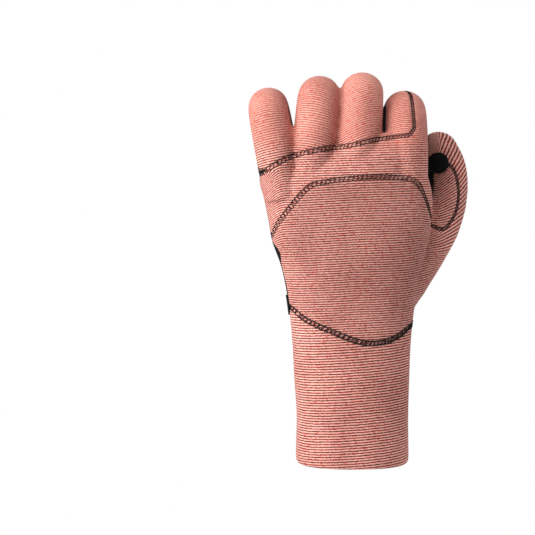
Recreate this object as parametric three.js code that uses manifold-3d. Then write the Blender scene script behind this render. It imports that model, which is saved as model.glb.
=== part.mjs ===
// A left-hand diving glove with pre-curved fingers, cut from sheet neoprene and sewn.
// A knit-faced cuff, hand back, knuckle band and finger panel close round a plain palm panel,
// and three round patches cover the corners where the seams meet.
// Millimetres. +Z runs up the hand, +Y is the palm side, +X the thumb side, and the origin is
// the middle of the cuff's opening.
import * as THREE from "three";
import { mergeVertices } from "three/addons/utils/BufferGeometryUtils.js";
import Module from "manifold-3d";

// Driving sizes of the cloth
const WALL = 3;
const SEAM_GAP = 0.3;
// Driving sizes of the glove, all outside the cloth
const CUFF_WIDTH = 71;
const CUFF_DEPTH = 54;
const HEM_ROUNDING = 1.2;
const PALM_WIDTH = 105;
const PALM_DEPTH = 40;
const KNUCKLE_HEIGHT = 190;
const KNUCKLE_SLANT = 0.24;
const FINGER_WIDTH = 27.4;
const FINGER_FLATNESS = 0.94;
const FINGER_LENGTH = 91;
const FINGER_ROOT = 16;
const THUMB_WIDTH = 28;
const PATCH_DIAMETER = 13;
const PATCH_THICKNESS = 0.8;
const PATCH_REACH = 26;
// Facets round a section
const HAND_SIDES = 22;
const FINGER_SIDES = 12;
const FINGER_STEPS = 10;
const THUMB_SIDES = 10;
const DOME_RINGS = 2;
const PATCH_SIDES = 16;
// Steps to work out a finger's line between two of its rings
const LINE_FINENESS = 8;
// How nearly the hand's sections are ellipses, 1 being an ellipse and less being squarer
const SECTION_ROUNDNESS = 0.86;
// How far over a round end its last ring lies, as a share of a quarter turn
const DOME_REACH = 0.94;
// How far one cutting form laps past another
const LAP = 2;
const CLEARANCE = 1;

// Sections of the hand from the hem up. "at" is a share of KNUCKLE_HEIGHT, "spread" goes from the
// cuff's width and depth at 0 to the palm's at 1, and the rest are shares of half of those.
const HAND_SECTIONS = [
  { at: 0.0, spread: 0, left: 0.97, right: 0.98, back: 0.96, palm: 0.96 },
  { at: 0.016, spread: 0, left: 0.985, right: 0.995, back: 0.98, palm: 0.98 },
  { at: 0.15, spread: 0, left: 0.97, right: 0.985, back: 0.98, palm: 0.96 },
  { at: 0.28, spread: 0, left: 1.015, right: 1.0, back: 0.98, palm: 0.96 },
  { at: 0.39, spread: 0, left: 1.045, right: 1.02, back: 0.96, palm: 0.96 },
  { at: 0.49, spread: 0.15, left: 1.02, right: 1.0, back: 0.96, palm: 0.96 },
  { at: 0.57, spread: 0.35, left: 0.985, right: 0.985, back: 0.96, palm: 1.0 },
  { at: 0.66, spread: 0.6, left: 0.965, right: 0.97, back: 1.0, palm: 1.04 },
  { at: 0.75, spread: 0.8, left: 1.01, right: 0.98, back: 1.0, palm: 1.02 },
  { at: 0.84, spread: 1.0, left: 0.995, right: 0.935, back: 1.0, palm: 0.98 },
  { at: 0.92, spread: 1.0, left: 1.045, right: 0.865, back: 0.97, palm: 0.86 },
  { at: 0.98, spread: 1.0, left: 1.095, right: 0.845, back: 0.86, palm: 0.68 },
  { at: 1.02, spread: 1.0, left: 1.08, right: 0.835, back: 0.62, palm: 0.5 },
  { at: 1.05, spread: 1.0, left: 1.0, right: 0.78, back: 0.4, palm: 0.36 },
];

// The fingers, from the little one. x is a share of half PALM_WIDTH, y of PALM_DEPTH, z of
// KNUCKLE_HEIGHT, bone lengths of FINGER_LENGTH and width of FINGER_WIDTH. splay leans a finger
// sideways, yaw turns its curl towards the thumb, and the three curls are its headings in degrees
// from upright: past the knuckle, past the middle joint and past the last joint.
const FINGERS = {
  little: {
    x: -0.86, z: 0.95, bones: [0.45, 0.24, 0.17], width: 0.93, splay: -11.5, yaw: 5, curls: [8, 95, 146],
  },
  ring: {
    x: -0.47, z: 0.985, bones: [0.465, 0.3, 0.2], width: 0.985, splay: 3.5, yaw: 6, curls: [14, 100, 150],
  },
  middle: {
    x: 0.065, z: 1.005, bones: [0.465, 0.31, 0.21], width: 1.0, splay: 3, yaw: 3, curls: [20, 103, 152],
  },
  index: {
    x: 0.625, z: 0.995, bones: [0.4, 0.28, 0.19], width: 0.975, splay: 1.5, yaw: 0, curls: [36, 96, 128],
  },
};
const KNUCKLE_DEPTH_SHARE = -0.09;
// Where the fronts of the fingers and of the thumb part from the palm, as shares of KNUCKLE_HEIGHT
const FINGER_ROOTS = [0.985, 1.02, 1.045, 1.05];
const THUMB_ROOT = 0.81;
// How far towards the palm the palm panel's cloth reaches in front of the finger roots, as a share
// of PALM_DEPTH
const ROOT_REACH = 0.6;
const JOINT_BEND = 0.3;
// How far past the knuckle its bend is centred, as a share of the bend
const KNUCKLE_BEND = 0.2;
const FINGER_TAPER = 0.9;
// How far up a fingertip's end the seam runs, and how far past the end, as shares of its radius
const TIP_SEAM_RISE = 0.35;
// How far to the palm side of the fingers' middles their seams lie, as a share of FINGER_WIDTH
const SIDE_SEAM_SHIFT = 0.12;
const TIP_SEAM_END = 1.3;
// The two steps of the fingers' lines between which neighbours' cloth is parted
const PARTING_STEPS = [2, 7];

// The thumb from inside the palm to the tip: x is a share of half PALM_WIDTH, y of PALM_DEPTH,
// z of KNUCKLE_HEIGHT, and size of THUMB_WIDTH.
const THUMB_SECTIONS = [
  { x: 0.36, y: 0.02, z: 0.5, size: 1.1 },
  { x: 0.56, y: 0.14, z: 0.6, size: 1.28 },
  { x: 0.78, y: 0.34, z: 0.69, size: 1.28 },
  { x: 0.99, y: 0.55, z: 0.78, size: 1.24 },
  { x: 1.15, y: 0.79, z: 0.875, size: 1.04 },
  { x: 1.16, y: 0.93, z: 0.965, size: 0.98 },
  { x: 1.09, y: 1.02, z: 1.02, size: 0.92 },
];

// The seam of the cuff. x is a share of half CUFF_WIDTH, and back and palm are its heights on the
// two sides, as shares of KNUCKLE_HEIGHT.
const WRIST_SEAM = [
  { x: -1.6, back: 0.55, palm: 0.55 },
  { x: -1.06, back: 0.512, palm: 0.505 },
  { x: -0.9, back: 0.485, palm: 0.474 },
  { x: -0.63, back: 0.454, palm: 0.432 },
  { x: -0.36, back: 0.432, palm: 0.407 },
  { x: -0.09, back: 0.409, palm: 0.398 },
  { x: 0.17, back: 0.396, palm: 0.405 },
  { x: 0.39, back: 0.396, palm: 0.428 },
  { x: 0.58, back: 0.404, palm: 0.447 },
  { x: 0.79, back: 0.424, palm: 0.469 },
  { x: 0.95, back: 0.449, palm: 0.472 },
  { x: 1.1, back: 0.462, palm: 0.464 },
  { x: 1.6, back: 0.47, palm: 0.468 },
];

// The two long seams on the back of the hand, as seen from the back. x is a share of half
// PALM_WIDTH, and z, edge and web are shares of KNUCKLE_HEIGHT. The lower seam drops from edge
// to web as it turns round the hand's side into the crotch of the thumb.
const FINGER_SEAM = [
  [-1.6, 0.88], [-1.14, 0.935], [-0.99, 0.964], [-0.79, 0.996], [-0.6, 1.013], [-0.3, 1.029],
  [-0.06, 1.037], [0.18, 1.053], [0.42, 1.064], [0.55, 1.068], [0.645, 1.073], [0.69, 1.09],
];
const BACK_SEAM = [
  { x: -1.6, edge: 0.67, web: 0.67 },
  { x: -0.98, edge: 0.735, web: 0.735 },
  { x: -0.91, edge: 0.776, web: 0.776 },
  { x: -0.82, edge: 0.812, web: 0.812 },
  { x: -0.71, edge: 0.851, web: 0.851 },
  { x: -0.52, edge: 0.907, web: 0.9 },
  { x: -0.33, edge: 0.922, web: 0.91 },
  { x: -0.06, edge: 0.932, web: 0.91 },
  { x: 0.21, edge: 0.937, web: 0.9 },
  { x: 0.48, edge: 0.936, web: 0.87 },
  { x: 0.62, edge: 0.932, web: 0.83 },
  { x: 0.715, edge: 0.922, web: 0.8 },
  { x: 0.79, edge: 0.897, web: 0.787 },
  { x: 0.87, edge: 0.846, web: 0.781 },
  { x: 0.93, edge: 0.802, web: 0.776 },
  { x: 0.99, edge: 0.776, web: 0.771 },
  { x: 1.076, edge: 0.765, web: 0.765 },
];
// How far each side of the hand's edge the lower seam takes to drop, as a share of PALM_DEPTH, and
// the same of the wrist seam, as a share of CUFF_DEPTH
const WEB_TURN = 0.1;
const WRIST_TURN = 0.125;
// How many of the lower seam's last points edge the web
const WEB_POINTS = 7;
// The loop of the same seam round the thumb, up to the patch on the thumb
const THUMB_LOOP = [
  [1.166, 0.786], [1.24, 0.816], [1.284, 0.856], [1.294, 0.902], [1.257, 0.952], [1.2, 0.973],
  [1.12, 0.985], [1.03, 0.992],
];
// The seam over the index finger from above, from its back over the middle joint to its far side.
// x is a share of half PALM_WIDTH and y of PALM_DEPTH.
const INDEX_SEAM = [
  [0.69, -1.2], [0.705, -0.2], [0.7, 0.1], [0.69, 0.35], [0.65, 0.6], [0.5, 1], [0.3, 1.8],
];

// Where the palm panel ends, level by level. z is a share of KNUCKLE_HEIGHT; ulnar, webY and
// frontY are shares of PALM_DEPTH; webX, frontX and rearX of half PALM_WIDTH. The edge runs in
// at the little-finger side, past the web, onto the thumb's front and out on its far side.
const PALM_EDGE = [
  { z: 0.3, ulnar: 0.04, webX: 0.2, webY: 0, frontX: 0.4, frontY: 0.15, rearX: 0.5 },
  { z: 0.48, ulnar: 0.03, webX: 0.25, webY: 0, frontX: 0.42, frontY: 0.2, rearX: 0.56 },
  { z: 0.55, ulnar: -0.11, webX: 0.36, webY: 0, frontX: 0.54, frontY: 0.3, rearX: 0.7 },
  { z: 0.6, ulnar: 0.04, webX: 0.431, webY: 0, frontX: 0.626, frontY: 0.314, rearX: 0.814 },
  { z: 0.645, ulnar: 0.02, webX: 0.496, webY: 0, frontX: 0.703, frontY: 0.351, rearX: 0.91 },
  { z: 0.69, ulnar: -0.21, webX: 0.56, webY: 0, frontX: 0.78, frontY: 0.4, rearX: 1 },
  { z: 0.735, ulnar: 0.02, webX: 0.686, webY: 0.045, frontX: 0.852, frontY: 0.418, rearX: 1.081 },
  { z: 0.8, ulnar: 0.04, webX: 0.7, webY: 0.05, frontX: 0.93, frontY: 0.38, rearX: 1.16 },
  { z: 0.84, ulnar: 0.04, webX: 0.72, webY: 0, frontX: 0.95, frontY: 0.38, rearX: 1.19 },
  { z: 0.93, ulnar: 0.04, webX: 0.97, webY: -0.035, frontX: 0.985, frontY: 0.51, rearX: 1.2 },
  { z: 0.955, ulnar: -0.3, webX: 0.96, webY: -0.06, frontX: 0.98, frontY: 0.58, rearX: 1.18 },
  { z: 0.98, ulnar: 0.03, webX: 0.925, webY: -0.09, frontX: 0.94, frontY: 0.65, rearX: 1.15 },
  { z: 1.15, ulnar: 0, webX: 0.925, webY: -0.09, frontX: 0.935, frontY: 0.8, rearX: 1.04 },
];

// How far from the hand's middle the palm panel's ulnar edge stops and meets the fingers' middle,
// as shares of half PALM_WIDTH
const ULNAR_SHELF = [0.9, 0.78];

// The patches. at is a point inside the glove behind the patch and out points from it through
// the patch: x is a share of half PALM_WIDTH, y of PALM_DEPTH and z of KNUCKLE_HEIGHT.
const PATCHES = {
  thumb_patch: { at: [1.085, 0.93, 0.992], out: [-0.1, -1, -0.1] },
  palm_patch: { at: [0.52, 0.0, 0.478], out: [0.15, 1, 0] },
  ulnar_patch: { at: [-0.45, 0.0, 0.52], out: [-1, 0, 0] },
};

const KNIT = { color: 0xe39a88, roughness: 0.9, metalness: 0 };
const SKIN = { color: 0x1a1a1c, roughness: 0.75, metalness: 0 };

const wasm = await Module();
wasm.setup();

const HALF_PALM = PALM_WIDTH / 2;
const FAR = 3 * PALM_WIDTH;
const KNUCKLE_Y = KNUCKLE_DEPTH_SHARE * PALM_DEPTH;
const vector = (x, y, z) => new THREE.Vector3(x, y, z);
const mix = (a, b, t) => a + (b - a) * t;

// A closed mesh as a solid, with its shared corners merged
function solidOf(geometry) {
  for (const name of ["normal", "uv"]) geometry.deleteAttribute(name);
  const merged = mergeVertices(geometry, 1e-4);
  return new wasm.Manifold(
    new wasm.Mesh({
      numProp: 3,
      vertProperties: merged.attributes.position.array,
      triVerts: new Uint32Array(merged.index.array),
    }),
  );
}

// Twice the area of a flat ring, positive where it runs anticlockwise
function doubleArea(points) {
  return points.reduce((sum, p, k) => {
    const q = points[(k + 1) % points.length];
    return sum + p.x * q.y - q.x * p.y;
  }, 0);
}

// The triangles that close a ring, wound the way the ring runs, cut off it corner by corner
function capOf(ring) {
  const normal = vector(0, 0, 0);
  ring.forEach((p, k) => normal.add(p.clone().cross(ring[(k + 1) % ring.length])));
  const sizes = normal.toArray().map(Math.abs);
  const drop = sizes.indexOf(Math.max(...sizes));
  const [u, v] = [0, 1, 2].filter((axis) => axis !== drop);
  const flat = ring.map((p) => new THREE.Vector2(p.getComponent(u), p.getComponent(v)));
  const way = Math.sign(doubleArea(flat));
  const area = (...corners) => way * doubleArea(corners.map((corner) => flat[corner]));
  const left = ring.map((_, k) => k);
  const holds = ([a, b, c], p) => area(a, b, p) >= 0 && area(b, c, p) >= 0 && area(c, a, p) >= 0;
  const isEar = (ear) => area(...ear) > 0 && !left.some((p) => !ear.includes(p) && holds(ear, p));
  const triangles = [];
  while (left.length > 3) {
    const corners = left.map((b, k) => [left.at(k - 1), b, left[(k + 1) % left.length]]);
    const flattest = (x, y) => (Math.abs(area(...x)) < Math.abs(area(...y)) ? x : y);
    const ear = corners.find(isEar) ?? corners.reduce(flattest);
    triangles.push(ear);
    left.splice(left.indexOf(ear[1]), 1);
  }
  return [...triangles, left];
}

// A solid through rings of equal length, which may run either way round
function loft(rings) {
  const count = rings[0].length;
  const last = (rings.length - 1) * count;
  const index = [];
  for (let start = 0; start < last; start += count)
    for (let k = 0; k < count; k++) {
      const a = start + k;
      const b = start + ((k + 1) % count);
      index.push(a, b, b + count, a, b + count, a + count);
    }
  for (const [a, b, c] of capOf(rings[0])) index.push(a, c, b);
  for (const [a, b, c] of capOf(rings.at(-1))) index.push(last + a, last + b, last + c);
  const corners = rings.flat();
  let volume = 0;
  for (let k = 0; k < index.length; k += 3) {
    const [a, b, c] = [0, 1, 2].map((corner) => corners[index[k + corner]]);
    volume += a.dot(b.clone().cross(c));
  }
  if (volume < 0) index.reverse();
  const geometry = new THREE.BufferGeometry().setFromPoints(corners);
  geometry.setIndex(index);
  return solidOf(geometry);
}

// A flat outline in two of the axes, carried along the third from "from" to "to"
function prism(outline, place, from, to) {
  return loft([from, to].map((depth) => outline.map(([a, b]) => place(a, b, depth))));
}

// The hand and cuff as one closed form, "grow" larger than the glove's outside
function handForm(grow) {
  const rings = HAND_SECTIONS.map((row, r) => {
    const halfWidth = mix(CUFF_WIDTH, PALM_WIDTH, row.spread) / 2;
    const halfDepth = mix(CUFF_DEPTH, PALM_DEPTH, row.spread) / 2;
    const rounding = r === 0 && grow >= 0 ? HEM_ROUNDING : 0;
    const end = r === 0 && grow < 0 ? -FAR / 10 : r === HAND_SECTIONS.length - 1 ? grow : 0;
    return Array.from({ length: HAND_SIDES }, (_, k) => {
      const angle = (2 * Math.PI * k) / HAND_SIDES;
      const [c, s] = [Math.cos(angle), Math.sin(angle)];
      const wide = halfWidth * (c > 0 ? row.right : row.left) + grow - rounding;
      const deep = halfDepth * (s > 0 ? row.palm : row.back) + grow - rounding;
      const x = wide * Math.sign(c) * Math.abs(c) ** SECTION_ROUNDNESS;
      const y = deep * Math.sign(s) * Math.abs(s) ** SECTION_ROUNDNESS;
      return vector(x, y, row.at * KNUCKLE_HEIGHT + KNUCKLE_SLANT * x * row.at ** 3 + end);
    });
  });
  return loft(rings);
}

// The line of a finger: at each step its place, the way it points, its side and its back
function fingerLine(finger) {
  const splay = THREE.MathUtils.degToRad(finger.splay);
  const yaw = THREE.MathUtils.degToRad(finger.yaw);
  const up = vector(Math.sin(splay), 0, Math.cos(splay));
  const inward = vector(Math.sin(yaw), Math.cos(yaw), 0);
  inward.addScaledVector(up, -inward.dot(up)).normalize();
  const side = inward.clone().cross(up);
  const [first, second, third] = finger.bones.map((share) => share * FINGER_LENGTH);
  const bend = JOINT_BEND * FINGER_LENGTH;
  const turn = (s, middle) => THREE.MathUtils.smoothstep(s, middle - bend / 2, middle + bend / 2);
  const heading = (s) => {
    const [a, b, c] = finger.curls.map(THREE.MathUtils.degToRad);
    return a * turn(s, KNUCKLE_BEND * bend) + (b - a) * turn(s, first) + (c - b) * turn(s, first + second);
  };
  const place = vector(finger.x * HALF_PALM, KNUCKLE_Y, finger.z * KNUCKLE_HEIGHT);
  place.addScaledVector(up, -FINGER_ROOT);
  const length = first + second + third;
  const count = FINGER_STEPS * LINE_FINENESS;
  const step = (length + FINGER_ROOT) / count;
  const line = [];
  for (let k = 0; k <= count; k++) {
    const angle = heading(k * step - FINGER_ROOT);
    const [c, s] = [Math.cos(angle), Math.sin(angle)];
    const ahead = up.clone().multiplyScalar(c).addScaledVector(inward, s);
    const back = up.clone().multiplyScalar(s).addScaledVector(inward, -c);
    if (k % LINE_FINENESS === 0) line.push({ place: place.clone(), ahead, side, back });
    place.addScaledVector(ahead, step);
  }
  return line;
}

// The thumb's line, its side being the way its nail faces turned a quarter
function thumbLine() {
  const places = THUMB_SECTIONS.map((row) =>
    vector(row.x * HALF_PALM, row.y * PALM_DEPTH, row.z * KNUCKLE_HEIGHT),
  );
  const curve = new THREE.CatmullRomCurve3(places, false, "centripetal");
  const steps = 2 * (places.length - 1);
  return Array.from({ length: steps + 1 }, (_, k) => {
    const ahead = curve.getTangent(k / steps);
    const side = vector(1, 0, 0).addScaledVector(ahead, -ahead.x).normalize();
    const back = side.clone().cross(ahead);
    return { place: curve.getPoint(k / steps), ahead, side, back };
  });
}

// A tube with a round end along a line. wide and deep give half its width and depth at a share
// of its length.
function tube(line, sides, wide, deep) {
  const ringAt = ({ place, ahead, side, back }, share, shrink, advance) =>
    Array.from({ length: sides }, (_, k) => {
      const angle = (2 * Math.PI * (k + 0.5)) / sides;
      return place
        .clone()
        .addScaledVector(ahead, advance)
        .addScaledVector(side, shrink * wide(share) * Math.cos(angle))
        .addScaledVector(back, -shrink * deep(share) * Math.sin(angle));
    });
  const rings = line.map((frame, k) => ringAt(frame, k / (line.length - 1), 1, 0));
  for (let k = 1; k <= DOME_RINGS; k++) {
    const angle = (DOME_REACH * Math.PI * k) / (2 * DOME_RINGS);
    rings.push(ringAt(line.at(-1), 1, Math.cos(angle), Math.sin(angle) * deep(1)));
  }
  return loft(rings);
}

const fingerRadius = (finger, grow) => (share) =>
  (finger.width * FINGER_WIDTH * mix(1, FINGER_TAPER, share ** 2)) / 2 + grow;

// A finger as a closed form, "grow" larger than its outside
function fingerForm(finger, grow) {
  const radius = fingerRadius(finger, 0);
  const wide = (share) => radius(share) + grow;
  const deep = (share) => radius(share) * FINGER_FLATNESS + grow;
  return tube(fingerLine(finger), FINGER_SIDES, wide, deep);
}

// The thumb as a closed form, "grow" larger than its outside
function thumbForm(grow) {
  const sizes = THUMB_SECTIONS.map((row) => row.size);
  const radius = (share) => {
    const place = Math.min(share * (sizes.length - 1), sizes.length - 1 - 1e-9);
    const row = Math.floor(place);
    return (mix(sizes[row], sizes[row + 1], place - row) * THUMB_WIDTH) / 2 + grow;
  };
  return tube(thumbLine(), THUMB_SIDES, radius, radius);
}

// The whole glove as one closed form, "grow" larger than its outside
function gloveForm(grow) {
  const fingers = Object.values(FINGERS).map((finger) => fingerForm(finger, grow));
  return [thumbForm(grow), ...fingers].reduce((sum, form) => sum.add(form), handForm(grow));
}

// All below the wrist seam, with that edge raised by "grow"
function belowWrist(grow) {
  const outline = (side) => {
    const seam = WRIST_SEAM.map((row) => [(row.x * CUFF_WIDTH) / 2, row[side] * KNUCKLE_HEIGHT + grow]);
    return [...seam, [seam.at(-1)[0], -FAR], [seam[0][0], -FAR]];
  };
  const turn = WRIST_TURN * CUFF_DEPTH;
  const levels = [[-FAR, "back"], [-turn, "back"], [turn, "palm"], [FAR, "palm"]];
  return loft(levels.map(([y, side]) => outline(side).map(([x, z]) => vector(x, y, z))));
}

// All on the palm side of the palm panel's edge, level by level, with the edge moved by "grow"
function palmLevels(grow) {
  return loft(
    PALM_EDGE.map((row) => {
      const z = row.z * KNUCKLE_HEIGHT;
      return [
        vector(-FAR, row.ulnar * PALM_DEPTH - grow, z),
        vector(-ULNAR_SHELF[0] * HALF_PALM + grow, row.ulnar * PALM_DEPTH - grow, z),
        vector(-ULNAR_SHELF[1] * HALF_PALM + grow, KNUCKLE_Y - grow, z),
        vector(row.webX * HALF_PALM, row.webY * PALM_DEPTH - grow, z),
        vector(row.frontX * HALF_PALM + grow, row.frontY * PALM_DEPTH - grow, z),
        vector(row.rearX * HALF_PALM + grow, FAR, z),
        vector(-FAR, FAR, z),
      ];
    }),
  );
}

// All on the palm side of the four fingers' middle surfaces, which end a little up the back of
// each fingertip
function palmOfFingers(grow) {
  const foot = THUMB_ROOT * KNUCKLE_HEIGHT;
  const beyond = (path, shift) => path.map((p) => p.clone().add(vector(shift, 0, 0)));
  const paths = Object.values(FINGERS).map((finger) => {
    const line = fingerLine(finger);
    const tip = line.at(-1);
    const radius = fingerRadius(finger, 0)(1);
    const lift = grow - SIDE_SEAM_SHIFT * FINGER_WIDTH;
    const over = line.slice(1).map(({ place, back }) => place.clone().addScaledVector(back, lift));
    const exit = tip.place.clone().addScaledVector(tip.back, radius * TIP_SEAM_RISE + grow);
    exit.addScaledVector(tip.ahead, radius * TIP_SEAM_END);
    return [
      vector(over[0].x, KNUCKLE_Y - lift, foot),
      ...over,
      exit,
      vector(exit.x, FAR, exit.z + grow),
      vector(over[0].x, FAR, foot),
    ];
  });
  const stations = paths.flatMap((path, k) => {
    const next = paths[k + 1];
    return next ? [path, path.map((p, row) => p.clone().lerp(next[row], 0.5))] : [path];
  });
  stations.unshift(beyond(paths[0], -FINGER_WIDTH));
  stations.push(beyond(paths.at(-1), FINGER_WIDTH / 2 + CLEARANCE + grow));
  return loft(stations);
}

// A box between two corners
function block(low, high) {
  const size = vector(...high).sub(vector(...low));
  const geometry = new THREE.BoxGeometry(size.x, size.y, size.z);
  geometry.translate(...size.multiplyScalar(0.5).add(vector(...low)).toArray());
  return solidOf(geometry);
}

// All that the palm panel is cut from, with its edge moved by "grow"
function palmRegion(grow) {
  const levels = palmLevels(grow);
  const top = FINGERS.middle.z * KNUCKLE_HEIGHT - LAP + grow;
  return levels
    .intersect(block([-FAR, -FAR, 0], [FAR, FAR, top]))
    .add(levels.intersect(thumbForm(CLEARANCE + grow)))
    .add(palmOfFingers(grow));
}

const scaled = (points, first, second) => points.map(([a, b]) => [a * first, b * second]);

// An outline pushed out by "grow" on every side
function grown(outline, grow) {
  const way = Math.sign(doubleArea(outline.map(([x, y]) => ({ x, y }))));
  return outline.map(([x, z], k) => {
    const [ax, az] = outline[(k + outline.length - 1) % outline.length];
    const [bx, bz] = outline[(k + 1) % outline.length];
    const edges = [[x - ax, z - az], [bx - x, bz - z]].map(([dx, dz]) => {
      const length = Math.hypot(dx, dz);
      return [(way * dz) / length, (-way * dx) / length];
    });
    const [nx, nz] = [edges[0][0] + edges[1][0], edges[0][1] + edges[1][1]];
    const scale = (2 * grow) / (nx * nx + nz * nz);
    return [x + nx * scale, z + nz * scale];
  });
}

// All that the knuckle panel is cut from: the band over the knuckles, the index finger's outer
// side and the web down to the loop round the thumb
function knuckleRegion(grow) {
  const upper = scaled(FINGER_SEAM, HALF_PALM, KNUCKLE_HEIGHT);
  const loop = scaled(THUMB_LOOP, HALF_PALM, KNUCKLE_HEIGHT);
  const index = scaled(INDEX_SEAM, HALF_PALM, PALM_DEPTH);
  const ledge = upper.at(-1);
  const beside = Math.max(...THUMB_SECTIONS.map((row) => row.x)) * HALF_PALM;
  const seam = (side) => scaled(BACK_SEAM.map((row) => [row.x, row[side]]), HALF_PALM, KNUCKLE_HEIGHT);
  const band = (lower) => [
    ...lower,
    [beside, lower.at(-1)[1]],
    [beside, ledge[1]],
    ledge,
    ...upper.slice(0, -1).reverse(),
  ];
  const web = (lower) => {
    const edge = lower.slice(-WEB_POINTS);
    return [...edge, ...loop, [edge[0][0], loop.at(-1)[1]]];
  };
  // Carries an outline through the glove as its lower seam drops round the hand's side
  const carried = (outlineOf, back) => {
    const turn = WEB_TURN * PALM_DEPTH;
    const levels = [[-FAR, "edge"], [-turn, "edge"], [turn, "web"], [back, "web"]];
    const outline = (side) => grown(outlineOf(seam(side)), grow);
    return loft(levels.map(([y, side]) => outline(side).map(([x, z]) => vector(x, y, z))));
  };
  const strip = [...index, [beside, index.at(-1)[1]], [beside, index[0][1]]];
  const overHand = carried(band, PALM_DEPTH / 2).subtract(thumbForm(WALL / 2));
  const overIndex = prism(grown(strip, grow), vector, ledge[1] - LAP, 2 * FAR);
  const overThumb = carried(web, FAR).intersect(thumbFront());
  return overHand.add(overIndex.subtract(thumbForm(CLEARANCE))).add(overThumb);
}

// All in front of the thumb's line, seen from the back of the hand
function thumbFront() {
  const path = THUMB_SECTIONS.map((row) => [row.y * PALM_DEPTH, row.z * KNUCKLE_HEIGHT]);
  const outline = [[-FAR, path[0][1]], ...path, [path.at(-1)[0], FAR], [-FAR, FAR]];
  return prism(outline, (y, z, x) => vector(x, y, z), -FAR, FAR);
}

// The room that one finger's cloth lies in: a slab between its neighbours, "grow" wider
function fingerSlab(number, grow) {
  const lines = Object.values(FINGERS).map(fingerLine);
  const border = (k) =>
    [PALM_EDGE[0].z * KNUCKLE_HEIGHT, FAR].map((z) => {
      if (k < 0 || k === lines.length - 1) return [k < 0 ? -FAR : FAR, z];
      const between = (step) => lines[k][step].place.clone().lerp(lines[k + 1][step].place, 0.5);
      const [low, high] = PARTING_STEPS.map(between);
      return [mix(low.x, high.x, (z - low.z) / (high.z - low.z)), z];
    });
  const outline = [...border(number - 1), ...border(number).reverse()];
  return prism(grown(outline, grow), (x, z, y) => vector(x, y, z), -FAR, FAR);
}

// The room of a finger's palm side, past its root
function fingerFrontCell(number, grow) {
  const finger = Object.values(FINGERS)[number];
  const root = FINGER_ROOTS[number] * KNUCKLE_HEIGHT;
  const clear = ROOT_REACH * PALM_DEPTH;
  const outline = [
    [-FAR, root],
    [clear, root],
    [clear, root - FAR / 4],
    [FAR, root - FAR / 4],
    [FAR, FAR],
    [-FAR, FAR],
  ];
  const reach = prism(grown(outline, grow), (y, z, x) => vector(x, y, z), -FAR, FAR);
  return fingerForm(finger, CLEARANCE + grow).intersect(fingerSlab(number, grow)).intersect(reach);
}

// The room of the thumb's palm side, past its root
function thumbFrontCell(grow) {
  const root = THUMB_ROOT * KNUCKLE_HEIGHT - grow;
  return thumbForm(CLEARANCE + grow).intersect(block([0, -FAR, root], [FAR, FAR, FAR]));
}

// The largest of a solid's separate bodies
function largest(solid) {
  return solid.decompose().sort((a, b) => b.volume() - a.volume())[0];
}

// A round patch that follows the glove's outside, glued over a corner of the seams
function patch({ at, out }) {
  const centre = vector(at[0] * HALF_PALM, at[1] * PALM_DEPTH, at[2] * KNUCKLE_HEIGHT);
  const radius = PATCH_DIAMETER / 2;
  const aim = new THREE.Quaternion();
  aim.setFromUnitVectors(vector(0, 1, 0), vector(...out).normalize());
  const cutter = new THREE.CylinderGeometry(radius, radius, PATCH_REACH, PATCH_SIDES);
  cutter.translate(0, PATCH_REACH / 2, 0);
  cutter.applyQuaternion(aim);
  cutter.translate(...centre.toArray());
  const skin = gloveForm(SEAM_GAP + PATCH_THICKNESS).subtract(gloveForm(SEAM_GAP));
  return largest(skin.intersect(solidOf(cutter)));
}

// A named mesh of a solid
function mesh(name, solid, finish) {
  const { vertProperties, triVerts } = solid.getMesh();
  const geometry = new THREE.BufferGeometry();
  geometry.setAttribute("position", new THREE.BufferAttribute(vertProperties, 3));
  geometry.setIndex(new THREE.BufferAttribute(triVerts, 1));
  geometry.computeVertexNormals();
  const made = new THREE.Mesh(geometry, new THREE.MeshStandardMaterial(finish));
  made.name = name;
  return made;
}

const fingerNames = Object.keys(FINGERS);
const shell = gloveForm(0).subtract(gloveForm(-WALL));
const cuff = largest(shell.intersect(belowWrist(0)));
const hand = shell.subtract(belowWrist(SEAM_GAP));
const palmSide = hand.intersect(palmRegion(0));
const backSide = hand.subtract(palmRegion(SEAM_GAP));
const knuckles = largest(backSide.intersect(knuckleRegion(0)));
const halves = backSide.subtract(knuckleRegion(SEAM_GAP)).decompose();
halves.sort((a, b) => b.volume() - a.volume());
const foot = (solid) => solid.boundingBox().min[2];
const [fingers, handBack] = halves.slice(0, 2).sort((a, b) => foot(b) - foot(a));
const cells = [...fingerNames.map((_, k) => fingerFrontCell(k, SEAM_GAP)), thumbFrontCell(SEAM_GAP)];
const palm = largest(cells.reduce((left, cell) => left.subtract(cell), palmSide));

const glove = new THREE.Group();
glove.add(
  mesh("cuff", cuff, KNIT),
  mesh("hand_back", handBack, KNIT),
  mesh("knuckle_panel", knuckles, KNIT),
  mesh("palm", palm, SKIN),
  mesh("thumb_front", largest(palmSide.intersect(thumbFrontCell(0))), SKIN),
);
fingerNames.forEach((name, k) => {
  const back = largest(fingers.intersect(fingerSlab(k, -SEAM_GAP / 2)));
  const front = largest(palmSide.intersect(fingerFrontCell(k, 0)));
  glove.add(mesh(`${name}_finger_back`, back, KNIT), mesh(`${name}_finger_front`, front, SKIN));
});
for (const [name, place] of Object.entries(PATCHES)) glove.add(mesh(name, patch(place), SKIN));

export default glove;
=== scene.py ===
"""A left-hand diving glove with pre-curved fingers: cut knit panels, stitched seams and patches."""

import logging
import math
from dataclasses import dataclass, field
from enum import Enum
from typing import Callable, Sequence

import bmesh
import bpy
import numpy as np
from bpy.types import Material, Node, NodeSocket, Object
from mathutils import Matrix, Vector
from mathutils.bvhtree import BVHTree
from mathutils.kdtree import KDTree


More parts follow.
